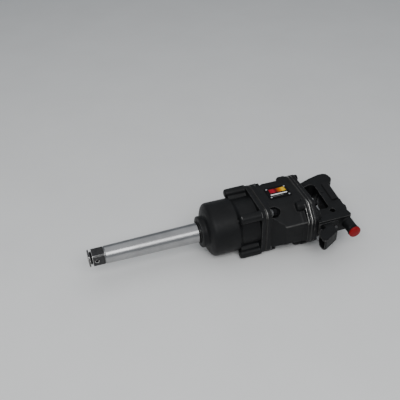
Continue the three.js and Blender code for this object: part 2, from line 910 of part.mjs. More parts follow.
function inletBushing() {
  const [low, high] = [BUSHING_END, INLET.y[1] - GAP];
  const r = BUSHING_AF / Math.sqrt(3);
  const nut = solid(
    new THREE.CylinderGeometry(r, r, high - low, 6).translate(INLET.x, (low + high) / 2, 0),
  );
  const thread = barY(high - 0.5, -82, INLET.bore - 0.3, INLET.x, 0, 24);
  return cut(join(nut, thread), barY(low - 1, -81, BUSHING_BORE_R, INLET.x, 0, 24));
}

function inletScreen() {
  const [y0, y1] = SCREEN_Y;
  const disc = barY(y0, y1, INLET.bore - 0.6, INLET.x, 0, 24);
  const holes = [0, 1, 2, 3, 4, 5].map((i) => {
    const angle = (i * Math.PI) / 3;
    const [x, z] = [INLET.x + 4.6 * Math.cos(angle), 4.6 * Math.sin(angle)];
    return barY(y0 - 1, y1 + 1, 1.4, x, z, 8);
  });
  return cut(disc, barY(y0 - 1, y1 + 1, 1.4, INLET.x, 0, 8), ...holes);
}

function dustPlug() {
  const profile = [
    [0, 0],
    [0, PLUG_R - 0.4],
    [0.6, PLUG_R],
    [2.8, PLUG_R],
    [4.2, PLUG_R - 1.2],
    [5.2, PLUG_R - 4],
    [5.6, 0],
  ];
  const start = BUSHING_END - GAP;
  const points = profile.map(([y, r]) => new THREE.Vector2(r, start - y));
  const cap = solid(new THREE.LatheGeometry(points, 24).translate(INLET.x, 0, 0));
  const stem = cut(
    barY(start - 0.5, -90, BUSHING_BORE_R - 0.3, INLET.x, 0, 24),
    barY(start + 2, -89, BUSHING_BORE_R - 2, INLET.x, 0, 24),
  );
  return join(cap, stem);
}

// ---------------------------------------------------------------- reverse valve

function reverseValve() {
  const spool = barX(VALVE_PLATE_X[0] + 2.8, HEAD_X, REVERSE.r, REVERSE.y, 0, 32);
  const shaft = barX(HEAD_X - 1, LEVER_END + 0.4, 4.5, REVERSE.y, 0, 20);
  const port = barY(REVERSE.y - 12, REVERSE.y + 12, 3.6, 438, 0, 10);
  const flat = block(VALVE_PLATE_X[0] + 2, 432, REVERSE.y + 4.5, REVERSE.y + 12, -12, 12);
  return cut(join(spool, shaft), port, flat);
}

function reverseLever() {
  const y = REVERSE.y;
  const arm = outline([
    [y + 10, 10, 6],
    [y + 5, 31, 4],
    [y - 5, 31, 4],
    [y - 10, 10, 6],
    [y - 10, -10, 6],
    [y - 5, -31, 4],
    [y + 5, -31, 4],
    [y + 10, -10, 6],
  ]);
  const bar = alongX(arm, HEAD_X + 0.5, LEVER_END, 1.2, 3);
  return cut(bar, barX(HEAD_X, LEVER_END + 1, 4.8, y, 0, 20));
}

// ---------------------------------------------------------------- exhaust

function exhaustDeflector() {
  const plate = alongZ(
    outline([
      [438, -74.3, 1],
      [477, -74.3, 1],
      [477, -77.6, 1],
      [438, -77.6, 1],
    ]),
    -15,
    15,
  );
  const hood = alongZ(
    outline([
      [447, -76],
      [463.5, -76],
      [463, -101.3, 5],
      [424, -123.6, 5],
      [424, -105, 5],
      [429.7, -91, 5],
      [447, -84.6, 4],
    ]),
    -11.5,
    11.5,
  );
  const duct = alongZ(
    outline([
      [449.8, -73],
      [460.8, -73],
      [460.5, -99.6, 3],
      [418, -123.8],
      [418, -98.4],
      [449.8, -86.6, 3],
    ]),
    -9,
    9,
  );
  const holes = [442, 473].map((x) => barY(-80, -72, 2.2, x, 0, 8));
  return cut(join(plate, hood), duct, ...holes);
}

function deflectorScrew(x) {
  const profile = [
    [66, 0],
    [66, 1.6],
    [66.4, 1.9],
    [77.9, 1.9],
    [77.9, 3.7],
    [79.2, 3.5],
    [80.2, 2.2],
    [80.5, 0],
  ];
  const points = profile.map(([y, r]) => new THREE.Vector2(r, -y));
  return solid(new THREE.LatheGeometry(points, 12).translate(x, 0, 0));
}

// ---------------------------------------------------------------- name plate

function namePlate() {
  const [x0, x1] = PLATE.x;
  const [y0, y1] = PLATE.y;
  const z = HOUSING_HALF + 0.2;
  const sheet = alongZ(
    outline([
      [x0, y0, 2.5],
      [x1, y0, 2.5],
      [x1, y1, 2.5],
      [x0, y1, 2.5],
    ]),
    z,
    z + PLATE.thick,
  );
  return cut(sheet, ...RIVETS.map(([x, y]) => barZ(z - 1, z + 2, 1.5, x, y, 8)));
}

function rivet([x, y]) {
  const z = HOUSING_HALF + 0.2 + PLATE.thick + 0.15;
  const profile = [
    [z - 5, 0],
    [z - 5, 1.2],
    [z, 1.2],
    [z, 2.3],
    [z + 0.7, 1.7],
    [z + 1, 0],
  ];
  const points = profile.map(([h, r]) => new THREE.Vector2(r, h));
  const body = new THREE.LatheGeometry(points, 10).rotateX(Math.PI / 2);
  return solid(body.translate(x, y, 0));
}

// ---------------------------------------------------------------- assembly

const tool = new THREE.Group();
tool.name = "impact_wrench";

function add(name, body, [color, roughness, metalness]) {
  const { vertProperties, triVerts, numProp } = body.getMesh();
  const corners = new Float32Array((vertProperties.length / numProp) * 3);
  for (let i = 0; i < corners.length / 3; i++)
    corners.set(vertProperties.subarray(i * numProp, i * numProp + 3), i * 3);
  const geometry = new THREE.BufferGeometry();
  geometry.setAttribute("position", new THREE.BufferAttribute(corners, 3));
  geometry.setIndex(new THREE.BufferAttribute(triVerts, 1));
  const flat = geometry.toNonIndexed();
  flat.computeVertexNormals();
  const mesh = new THREE.Mesh(
    flat,
    new THREE.MeshStandardMaterial({ color, roughness, metalness }),
  );
  mesh.name = name;
  tool.add(mesh);
}

add("anvil", anvil(), GROUND_STEEL);
add("socket_retaining_ring", retainingRing(), DARK_STEEL);
add("anvil_bushing", anvilBushing(), BRONZE);
add("nose_seal", noseSeal(), RUBBER);
add("hammer_case", hammerCase(), BLACK_PAINT);
add("anvil_thrust_washer", thrustWasher(), BRONZE);
add("hammer_frame", hammerFrame(), DARK_STEEL);
add("front_hammer", hammer(CAGE_X[0] + CAGE_PLATE + 0.5), CAST_IRON);
const rearHammerX = CAGE_X[1] - CAGE_PLATE - 0.5 - HAMMER_LENGTH;
add("rear_hammer", hammer(rearHammerX).rotate([180, 0, 0]), CAST_IRON);
add("hammer_pin_upper", hammerPin(PIN_AT), GROUND_STEEL);
add("hammer_pin_lower", hammerPin(-PIN_AT), GROUND_STEEL);
add("hammer_case_gasket", caseGasket(), GASKET);
atCorners(caseBolt).forEach((one, i) => add(`hammer_case_bolt_${i + 1}`, one, DARK_STEEL));
atCorners(springWasher).forEach((one, i) => add(`hammer_case_washer_${i + 1}`, one, ZINC));
add("front_end_plate", frontEndPlate(), CAST_IRON);
add("front_bearing", bearing(BEARING_FRONT), GROUND_STEEL);
add("cylinder", cylinder(), CAST_IRON);
add("rotor", rotor(), DARK_STEEL);
for (let i = 0; i < VANES; i++) add(`rotor_vane_${i + 1}`, vane(i), PHENOLIC);
add("rear_end_plate", rearEndPlate(), CAST_IRON);
add("rear_bearing", bearing(BEARING_REAR), GROUND_STEEL);
add("motor_housing", motorHousing(), BLACK_PAINT);
add("rear_gasket", rearGasket(), GASKET);
add("valve_plate", valvePlate(), BLACK_PAINT);
add("handle", handle(), BLACK_PAINT);
atCorners(handleBolt).forEach((one, i) => add(`handle_bolt_${i + 1}`, one, DARK_STEEL));
add("grip_sleeve", gripSleeve(), RUBBER);
add("trigger", trigger(), DARK_STEEL);
add("trigger_pin", triggerPin(), DARK_STEEL);
add("throttle_valve", throttleValve(), BRONZE);
add("throttle_spring", throttleSpring(), ZINC);
add("throttle_cap", throttleCap(), DARK_STEEL);
add("inlet_bushing", inletBushing(), DARK_STEEL);
add("inlet_screen", inletScreen(), ZINC);
add("dust_plug", dustPlug(), RED_PLASTIC);
add("reverse_valve", reverseValve(), DARK_STEEL);
add("reverse_lever", reverseLever(), DARK_STEEL);
add("exhaust_deflector", exhaustDeflector(), BLACK_PAINT);
[442, 473].forEach((x, i) => add(`deflector_screw_${i + 1}`, deflectorScrew(x), ZINC));
add("name_plate", namePlate(), [0x101113, 0.4, 0.3]);
RIVETS.forEach((at, i) => add(`name_plate_rivet_${i + 1}`, rivet(at), ZINC));

// The part's origin: the middle of the box in X and Y, the resting side in Z.
const box = new THREE.Box3().setFromObject(tool);
const middle = box.getCenter(new THREE.Vector3());
tool.children.forEach((mesh) => mesh.geometry.translate(-middle.x, -middle.y, -box.min.z));

export default tool;
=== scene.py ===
"""Looks of an air impact wrench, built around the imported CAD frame.

Shapes are written in the tool's own millimetres: X from the drive end along the rotor's axis,
Y to the top of the tool, Z out of the name plate's side, with the axis at Y = Z = 0.
"""

import math

import bmesh
import bpy
import numpy as np
from mathutils import Matrix, Vector


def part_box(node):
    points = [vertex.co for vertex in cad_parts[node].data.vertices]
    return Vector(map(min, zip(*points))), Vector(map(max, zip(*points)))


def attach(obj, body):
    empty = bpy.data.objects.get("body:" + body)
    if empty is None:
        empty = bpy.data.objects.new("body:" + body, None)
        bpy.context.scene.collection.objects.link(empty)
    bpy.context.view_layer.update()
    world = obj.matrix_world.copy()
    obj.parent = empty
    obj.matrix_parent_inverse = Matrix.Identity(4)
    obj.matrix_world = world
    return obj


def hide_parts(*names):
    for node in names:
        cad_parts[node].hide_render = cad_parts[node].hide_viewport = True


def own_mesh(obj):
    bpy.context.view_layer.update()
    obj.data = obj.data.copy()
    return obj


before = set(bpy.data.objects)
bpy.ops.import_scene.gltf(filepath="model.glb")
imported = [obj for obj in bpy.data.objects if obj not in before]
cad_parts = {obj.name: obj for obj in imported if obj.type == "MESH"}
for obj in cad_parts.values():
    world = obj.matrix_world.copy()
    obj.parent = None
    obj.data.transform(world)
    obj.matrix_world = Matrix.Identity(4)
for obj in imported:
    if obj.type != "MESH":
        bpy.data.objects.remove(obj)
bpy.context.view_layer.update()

# The tip of the drive, on the tool's axis, in the row frame.
anvil_low, anvil_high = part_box("anvil")
ORIGIN = Vector(
    (anvil_low.x, (anvil_low.y + anvil_high.y) / 2, (anvil_low.z + anvil_high.z) / 2)
)
MM = 0.001  # a millimetre, in metres

# Driving dimensions, in millimetres.
BOLT_OUT = 43.5  # from the axis to each case bolt, along Y and Z
CORNERS = [(BOLT_OUT, BOLT_OUT), (BOLT_OUT, -BOLT_OUT), (-BOLT_OUT, -BOLT_OUT), (-BOLT_OUT, BOLT_OUT)]
BOLT_R = 3.2
BOLT_BORE_R = 3.6
BOLT_HEX = 11.7  # across the flats of a bolt's head
PILLAR_R = 9.45  # the round column round each case bolt
FLANGE_HALF = 53.0  # half the width of the square flanges
FLANGE_CORNER_R = 16.0
CASE_END = 337.4  # the hammer case's rear face
HOUSING_X = (338.6, 421.0)  # the front and rear faces of the motor housing, in X
VALVE_PLATE_X = (422.4, 428.6)
HANDLE_X = (428.9, 436.0)  # the handle's flange
GASKET_GAP = 0.2  # left on each side of a gasket
DRIVE_HALF = 12.7
DRIVE_CORNER_R = 16.75
CASE_BORE_R = 44.4
MOTOR_BORE_R = 44.3
PIN = (487.5, 12.0)  # the trigger's pin, in X and Y
PIN_BORE_R = 2.8
VALVE_Y = -34.0  # the throttle valve's axis, along X
REVERSE_Y = -4.0  # the reverse valve's axis, along X
INLET_X = 499.5  # the inlet's axis, along Y
GRIP_LEAN = 0.08  # how far the grip's back moves in X for each millimetre of Y
GRIP_HALF = 19.4
PLATE_Z = 52.2  # the face that the name plate is riveted to
PLATE_RIVETS = ((364, 15), (401.5, 15), (401.5, -11), (364, -11))
DEFLECTOR_SCREWS_X = (442, 473)


# ------------------------------------------------------------------ outlines


def rounded(points, steps=6, closed=True):
    """The outline with each (u, v, radius) corner replaced by an arc."""
    out = []
    last = len(points) - 1
    for i, p in enumerate(points):
        r = p[2] if len(p) > 2 else 0
        here = Vector(p[:2])
        if r <= 0 or (not closed and i in (0, last)):
            out.append(tuple(here))
            continue
        a = Vector(points[i - 1][:2]) - here
        b = Vector(points[(i + 1) % len(points)][:2]) - here
        reach = 0.49 * min(a.length, b.length)  # two arcs on one edge never meet
        a.normalize()
        b.normalize()
        half = a.angle(b) / 2
        nearly_straight = half > math.pi / 2 - 0.02
        if nearly_straight:
            out.append(tuple(here))
            continue
        t = min(r / math.tan(half), reach)
        centre = here + (a + b).normalized() * (t / math.cos(half))
        start = here + a * t - centre
        end = here + b * t - centre
        turn = start.angle(end)
        for k in range(steps + 1):
            f = k / steps
            spoke = start * math.sin((1 - f) * turn) + end * math.sin(f * turn)
            out.append(tuple(centre + spoke / math.sin(turn)))
    return out


def square(half, radius, steps=8):
    """A square outline with rounded corners."""
    h = half
    return rounded([(h, h, radius), (-h, h, radius), (-h, -h, radius), (h, -h, radius)], steps)


def hexagon(across, turn=0.0):
    """A hexagon, this far across its flats."""
    r = across / math.sqrt(3)
    return [
        (r * math.cos(turn + k * math.pi / 3), r * math.sin(turn + k * math.pi / 3))
        for k in range(6)
    ]


# ------------------------------------------------------------------ meshes


def placed(axis, t, u, v):
    """Point at t along the axis and (u, v) across it."""
    return {"X": (t, u, v), "Y": (u, t, v), "Z": (u, v, t)}[axis]


def revolve(profile, axis="X", centre=(0, 0, 0), segs=96):
    """Surface of revolution from (along, radius) points that start and end on the axis, or form a ring."""
    bm = bmesh.new()
    cx = Vector(centre)
    rings = []
    for t, r in profile:
        if r < 1e-6:
            rings.append([bm.verts.new(Vector(placed(axis, t, 0, 0)) + cx)])
            continue
        ring = []
        for k in range(segs):
            a = 2 * math.pi * k / segs
            ring.append(bm.verts.new(Vector(placed(axis, t, r * math.cos(a), r * math.sin(a))) + cx))
        rings.append(ring)
    pairs = list(zip(rings, rings[1:]))
    if profile[0][1] > 1e-6:
        pairs.append((rings[-1], rings[0]))
    for a, b in pairs:
        for k in range(segs):
            j = (k + 1) % segs
            if len(a) == 1 and len(b) == 1:
                continue
            if len(a) == 1:
                bm.faces.new((a[0], b[j], b[k]))
            elif len(b) == 1:
                bm.faces.new((a[k], a[j], b[0]))
            else:
                bm.faces.new((a[k], a[j], b[j], b[k]))
    bmesh.ops.recalc_face_normals(bm, faces=bm.faces)
    return bm


def prism(points, axis, low, high):
    """An outline pushed along an axis. Outlines are (y, z) for X, (x, z) for Y and (x, y) for Z."""
    bm = bmesh.new()
    ends = [[bm.verts.new(placed(axis, t, u, v)) for u, v in points] for t in (low, high)]
    bm.faces.new(ends[0])
    bm.faces.new(ends[1])
    for k in range(len(points)):
        j = (k + 1) % len(points)
        bm.faces.new((ends[0][k], ends[0][j], ends[1][j], ends[1][k]))
    bmesh.ops.recalc_face_normals(bm, faces=bm.faces)
    return bm


def bar(axis, low, high, r, centre=(0, 0, 0), segs=48):
    """A plain round bar, mostly used as a drill."""
    return revolve([(low, 0), (low, r), (high, r), (high, 0)], axis, centre, segs)


def brick(x0, x1, y0, y1, z0, z1):
    """A plain block, used as a saw."""
    return prism([(x0, y0), (x1, y0), (x1, y1), (x0, y1)], "Z", z0, z1)


def leaned(bm):
    """Leans a shape back with the grip: X grows with Y."""
    for v in bm.verts:
        v.co.x += GRIP_LEAN * v.co.y
    return bm


def moved(bm, x=0.0, y=0.0, z=0.0, turn=0.0):
    """Turns a shape about the X axis, then moves it."""
    bmesh.ops.transform(bm, matrix=Matrix.Rotation(turn, 4, "X"), verts=bm.verts)
    bmesh.ops.translate(bm, vec=(x, y, z), verts=bm.verts)
    return bm


def merged(meshes):
    """One mesh that holds all of these, which are used up."""
    whole = bmesh.new()
    for bm in meshes:
        data = bpy.data.meshes.new("part")
        bm.to_mesh(data)
        bm.free()
        whole.from_mesh(data)
        bpy.data.meshes.remove(data)
    return whole


def new_object(bm, name):
    """An object with this mesh, which is used up."""
    data = bpy.data.meshes.new(name)
    bm.to_mesh(data)
    bm.free()
    obj = bpy.data.objects.new(name, data)
    bpy.context.scene.collection.objects.link(obj)
    return obj


def drop(obj):
    """Removes the object and its mesh."""
    data = obj.data
    bpy.data.objects.remove(obj)
    bpy.data.meshes.remove(data)


def taken(obj):
    """The object's mesh as a bmesh; the object itself goes."""
    bm = bmesh.new()
    bm.from_mesh(obj.data)
    drop(obj)
    return bm


def apply_modifiers(obj):
    """Keeps the object's evaluated mesh and clears its modifiers."""
    bpy.context.view_layer.update()
    graph = bpy.context.evaluated_depsgraph_get()
    data = bpy.data.meshes.new_from_object(obj.evaluated_get(graph))
    old = obj.data
    obj.modifiers.clear()
    obj.data = data
    data.name = obj.name
    bpy.data.meshes.remove(old)
    return obj


def boolean(obj, bm, operation="DIFFERENCE"):
    """Cuts the object by a shape, joins them, or keeps what they share."""
    other = new_object(bm, "tool_shape")
    mod = obj.modifiers.new("cut", "BOOLEAN")
    mod.operation = operation
    mod.solver = "MANIFOLD"
    mod.object = other
    apply_modifiers(obj)
    drop(other)
    return obj


def voxel(obj, size):
    """Rebuilds the surface on an even grid, which melts overlapping shapes together."""
    mod = obj.modifiers.new("skin", "REMESH")
    mod.mode = "VOXEL"
    mod.voxel_size = size
    return apply_modifiers(obj)


def mark_wear(obj, sharp=0.16, spread=1):
    """Stores how convex each vertex is, 0 to 1, as the attribute wear."""
    data = obj.data
    total = len(data.vertices)
    places = np.zeros(total * 3)
    normals = np.zeros(total * 3)
    ends = np.zeros(len(data.edges) * 2, np.int64)
    data.vertices.foreach_get("co", places)
    data.vertices.foreach_get("normal", normals)
    data.edges.foreach_get("vertices", ends)
    places = places.reshape(-1, 3)
    normals = normals.reshape(-1, 3)
    a, b = ends.reshape(-1, 2).T
    step = places[a] - places[b]
    length = np.linalg.norm(step, axis=1) + 1e-12
    count = np.bincount(a, minlength=total) + np.bincount(b, minlength=total)

    def gathered(at_a, at_b):
        """The mean, at each vertex, of a value at its end of each edge."""
        return (np.bincount(a, at_a, total) + np.bincount(b, at_b, total)) / np.maximum(count, 1)

    bend = gathered((normals[a] * step).sum(1) / length, (normals[b] * -step).sum(1) / length)
    for _ in range(spread):
        bend = 0.5 * bend + 0.5 * gathered(bend[b], bend[a])
    wear = np.clip(bend / sharp, 0, 1)
    layer = data.attributes.new("wear", "FLOAT", "POINT")
    layer.data.foreach_set("value", wear.astype(np.float32))


def settle(obj, angle=30.0):
    """Puts the piece in the row frame, in metres, with smooth faces and sharp edges above an angle."""
    obj.data.transform(Matrix.Translation(ORIGIN) @ Matrix.Scale(MM, 4))
    obj.data.polygons.foreach_set("use_smooth", [True] * len(obj.data.polygons))
    obj.data.set_sharp_from_angle(angle=math.radians(angle))
    obj.data.update()
    return obj


def cast(name, parts, cuts=(), size=0.9, soften=6, sharp=0.16):
    """A casting: shapes melted together, cut, and softened so that every edge has a radius."""
    obj = voxel(new_object(merged(parts), name), size)
    for bm in cuts:
        boolean(obj, bm)
    if cuts:
        voxel(obj, size)
    mod = obj.modifiers.new("soften", "SMOOTH")
    mod.factor = 0.5
    mod.iterations = soften
    apply_modifiers(obj)
    mark_wear(obj, sharp)
    return settle(obj, 80)


def lathed(name, profile, axis="X", centre=(0, 0, 0), segs=96, angle=50):
    """A turned piece, straight from its profile."""
    return settle(new_object(revolve(profile, axis, centre, segs), name), angle)


def bevelled(obj, width, segments, angle):
    """Rounds every edge that is sharper than the angle."""
    mod = obj.modifiers.new("bevel", "BEVEL")
    mod.width = width
    mod.segments = segments
    mod.limit_method = "ANGLE"
    mod.angle_limit = math.radians(angle)
    return apply_modifiers(obj)


def machined(name, bm, cuts=(), adds=(), bevel=0.4, angle=30.0):
    """A machined or moulded piece: crisp faces with a small bevel on every edge."""
    obj = new_object(bm, name)
    for other in adds:
        boolean(obj, other, "UNION")
    for other in cuts:
        boolean(obj, other)
    if bevel > 0:
        bevelled(obj, bevel, 3, angle)
    mod = obj.modifiers.new("normals", "WEIGHTED_NORMAL")
    mod.keep_sharp = True
    settle(obj, 40)
    return apply_modifiers(obj)


# ------------------------------------------------------------------ materials


class Nodes:
    """Short calls for building a node tree."""

    def __init__(self, name):
        """A new material; self.here is its object coordinates, which are the row frame's."""
        self.mat = bpy.data.materials.new(name)
        self.mat.use_nodes = True
        self.tree = self.mat.node_tree
        self.shader = self.tree.nodes["Principled BSDF"]
        self.here = self.add("ShaderNodeTexCoord").outputs["Object"]

    def add(self, kind, values=None, **settings):
        """A node with its settings, and its inputs set or linked."""
        node = self.tree.nodes.new(kind)
        for key, value in settings.items():
            setattr(node, key, value)
        for key, value in (values or {}).items():
            if isinstance(value, bpy.types.NodeSocket):
                self.tree.links.new(value, node.inputs[key])
            else:
                node.inputs[key].default_value = value
        return node

    def stretched(self, scale):
        """Object coordinates, scaled along each axis."""
        return self.add("ShaderNodeMapping", {"Vector": self.here, "Scale": scale}).outputs["Vector"]

    def noise(self, scale, detail=4.0, rough=0.55, vector=None):
        values = {"Vector": vector or self.here, "Scale": scale, "Detail": detail, "Roughness": rough}
        return self.add("ShaderNodeTexNoise", values).outputs["Fac"]

    def ramp(self, fac, stops):
        """Each stop is (place, grey or colour)."""
        node = self.add("ShaderNodeValToRGB", {"Fac": fac})
        ramp = node.color_ramp
        while len(ramp.elements) < len(stops):
            ramp.elements.new(0.5)
        for element, (at, value) in zip(ramp.elements, stops):
            element.position = at
            element.color = (*value, 1) if isinstance(value, tuple) else (value, value, value, 1)
        return node.outputs["Color"]

    def math(self, operation, a, b=0.0, c=None):
        values = {0: a, 1: b} if c is None else {0: a, 1: b, 2: c}
        return self.add("ShaderNodeMath", values, operation=operation).outputs[0]

    def mix(self, fac, a, b, kind="RGBA"):
        """From a to b, as colours or numbers. The Mix node has its own sockets for each kind."""
        node = self.add("ShaderNodeMix", data_type=kind)
        at_fac, at_a, at_b, result = {"RGBA": (0, 6, 7, 2), "FLOAT": (0, 2, 3, 0)}[kind]
        for key, value in ((at_fac, fac), (at_a, a), (at_b, b)):
            if isinstance(value, bpy.types.NodeSocket):
                self.tree.links.new(value, node.inputs[key])
            else:
                if kind == "RGBA":
                    value = (*value, 1) if isinstance(value, tuple) else (value, value, value, 1)
                node.inputs[key].default_value = value
        return node.outputs[result]

    def bump(self, *heights):
        """Each height is (socket, distance in metres, strength)."""
        normal = None
        for height, distance, strength in heights:
            values = {"Height": height, "Distance": distance, "Strength": strength}
            if normal:
                values["Normal"] = normal
            normal = self.add("ShaderNodeBump", values).outputs["Normal"]
        self.tree.links.new(normal, self.shader.inputs["Normal"])

    def set(self, **values):
        """Sets or links the shader's own sockets; an underscore stands for a space."""
        for key, value in values.items():
            key = key.replace("_", " ")
            if isinstance(value, bpy.types.NodeSocket):
                self.tree.links.new(value, self.shader.inputs[key])
            else:
                self.shader.inputs[key].default_value = value

    def wear(self, low, high, grain=160.0):
        """The wear attribute broken up by noise, as a sharp mask."""
        worn = self.add("ShaderNodeAttribute", attribute_name="wear").outputs["Fac"]
        rough = self.noise(grain, 5.0, 0.65)
        edge = self.math("MULTIPLY_ADD", worn, 1.0, self.math("MULTIPLY_ADD", rough, 0.7, -0.35))
        return self.ramp(edge, [(low, 0.0), (high, 1.0)])


BLACK = (0.0056, 0.0059, 0.0064)
# In metres from the axis: the line where the housing's slope meets its belly, along which a thin highlight
# is painted, and how far out, as |Y| + Z, the rubbing on the body's upper corners starts and is full; kept
# to the upper corners, which face the light, that rubbing is partly wear and partly painted highlight.
KNEE_SIDE = 0.0695
KNEE_RISE = 0.0215
CORNER_RUB_AND_HIGHLIGHT = (0.0905, 0.0955)


def painted(name, low=0.66, high=0.92, bright=0.22, corners=False):
    """Satin black paint on a casting, rubbed to metal along its edges, with fine scratches.

    With corners set, the rubbing keeps to the body's two upper corners on the name plate's side, which face
    the light, so it is partly wear and partly painted highlight, and a thin painted highlight runs along
    the line where the slope meets the belly.
    """
    n = Nodes(name)
    cloud = n.noise(24.0, 6.0, 0.6)
    tone = n.ramp(cloud, [(0.3, tuple(c * 0.7 for c in BLACK)), (0.75, tuple(c * 1.5 for c in BLACK))])
    rub = n.noise(60.0, 8.0, 0.7, n.stretched((1.0, 6.0, 6.0)))
    scratch = n.ramp(rub, [(0.67, 0.0), (0.71, 1.0)])
    dusty = n.mix(n.math("MULTIPLY", scratch, 0.22), tone, (0.05, 0.05, 0.049))
    worn = n.wear(low, high)
    if corners:
        # Bright rubbed edges kept to the upper corners, which face the light: partly real wear, partly
        # painted highlight.
        _, y, z = n.add("ShaderNodeSeparateXYZ", {"Vector": n.here}).outputs
        side = n.math("ABSOLUTE", n.math("SUBTRACT", y, ORIGIN.y))
        rise = n.math("SUBTRACT", z, ORIGIN.z)
        out = n.math("ADD", side, rise)
        worn = n.math("MULTIPLY", worn, n.ramp(out, [(CORNER_RUB_AND_HIGHLIGHT[0], 0.08), (CORNER_RUB_AND_HIGHLIGHT[1], 1.0)]))
        # A thin painted highlight along the line where the slope meets the belly, broken up by noise.
        knee_highlight = n.math("POWER", n.math("SUBTRACT", side, KNEE_SIDE), 2.0)
        knee_highlight = n.math("ADD", knee_highlight, n.math("POWER", n.math("SUBTRACT", rise, KNEE_RISE), 2.0))
        knee_highlight = n.ramp(n.math("MULTIPLY", knee_highlight, 1e5), [(0.05, 0.15), (0.40, 0.0)])
        highlight_breakup = n.ramp(n.noise(110.0, 5.0, 0.6), [(0.30, 0.35), (0.60, 1.0)])
        worn = n.math("MAXIMUM", worn, n.math("MULTIPLY", knee_highlight, highlight_breakup))
    n.set(Base_Color=n.mix(worn, dusty, (bright, bright * 0.985, bright * 0.95)))
    n.set(Metallic=n.math("MULTIPLY", worn, 0.9))
    satin = n.ramp(n.noise(90.0, 5.0), [(0.3, 0.44), (0.7, 0.58)])
    n.set(Roughness=n.mix(worn, satin, 0.34))
    orange_peel = n.noise(420.0, 2.0)
    grain = n.noise(1500.0, 3.0, 0.6)
    n.bump((orange_peel, 0.0006, 0.10), (grain, 0.00016, 0.22))
    n.set(Specular_IOR_Level=0.22)
    return n.mat


ROUND_MARKS = (2400.0, 12.0, 12.0)  # turned or ground round the tool's axis
EVEN_MARKS = (300.0, 300.0, 300.0)


def steel(name, color, rough, lines, marks_scale=ROUND_MARKS, spots=0.5):
    """Bare steel with fine tool marks and faint oil staining."""
    n = Nodes(name)
    marks = n.noise(1.0, 3.0, 0.6, n.stretched(marks_scale))
    stain = n.noise(26.0, 7.0, 0.62)
    dark = tuple(c * (1 - 0.45 * spots) for c in color)
    tone = n.ramp(stain, [(0.32, dark), (0.6, color)])
    n.set(Base_Color=n.mix(n.math("MULTIPLY", marks, 0.22), tone, tuple(c * 0.55 for c in color)))
    n.set(Metallic=1.0)
    base = n.mix(stain, rough * 1.3, rough * 0.85, "FLOAT")
    n.set(Roughness=n.math("MULTIPLY_ADD", marks, 0.10, base))
    n.bump((marks, 0.00004, lines), (n.noise(700.0, 3.0), 0.00005, 0.12))
    return n.mat


def phosphate(name):
    """Dark phosphate coat on steel, worn bright along the edges."""
    n = Nodes(name)
    tone = n.ramp(n.noise(140.0, 6.0, 0.65), [(0.3, (0.020, 0.020, 0.0215)), (0.75, (0.052, 0.051, 0.052))])
    worn = n.wear(0.26, 0.52, 240.0)
    n.set(Base_Color=n.mix(worn, tone, (0.80, 0.79, 0.77)))
    n.set(Metallic=n.mix(worn, 0.45, 1.0, "FLOAT"))
    n.set(Roughness=n.mix(worn, 0.5, 0.26, "FLOAT"))
    n.bump((n.noise(1300.0, 4.0), 0.00008, 0.3))
    return n.mat


def rubber(name):
    """Moulded rubber with a fine texture and a dusty sheen."""
    n = Nodes(name)
    tone = n.ramp(n.noise(45.0, 6.0), [(0.3, (0.0040, 0.0041, 0.0044)), (0.75, (0.0085, 0.0087, 0.0092))])
    n.set(Base_Color=tone, Roughness=n.ramp(n.noise(120.0), [(0.3, 0.62), (0.7, 0.8)]))
    n.set(Specular_IOR_Level=0.30)
    n.bump((n.noise(1100.0, 3.0), 0.00015, 0.35))
    return n.mat


def plastic(name, color):
    """Moulded semi-gloss plastic with slight flow marks and scuffs."""
    n = Nodes(name)
    tone = n.ramp(n.noise(70.0, 5.0), [(0.25, tuple(c * 0.82 for c in color)), (0.75, color)])
    scuff = n.ramp(n.noise(260.0, 8.0, 0.7), [(0.62, 0.0), (0.72, 1.0)])
    n.set(Base_Color=n.mix(n.math("MULTIPLY", scuff, 0.10), tone, (0.55, 0.12, 0.11)))
    n.set(Roughness=n.mix(scuff, 0.42, 0.58, "FLOAT"))
    n.set(Specular_IOR_Level=0.18)
    n.bump((n.noise(500.0, 3.0), 0.0001, 0.1))
    return n.mat


def plain(name, color, rough, metallic):
    """A cast, sintered or sheet finish with fine grain."""
    n = Nodes(name)
    grain = 600.0
    low, high = tuple(c * 0.75 for c in color), tuple(min(1, c * 1.2) for c in color)
    n.set(Base_Color=n.ramp(n.noise(grain / 12, 6.0), [(0.3, low), (0.72, high)]))
    n.set(Metallic=metallic)
    n.set(Roughness=n.ramp(n.noise(grain / 4), [(0.3, rough * 0.85), (0.7, min(1, rough * 1.15))]))
    n.bump((n.noise(grain, 3.0), 0.00012, 0.3))
    return n.mat


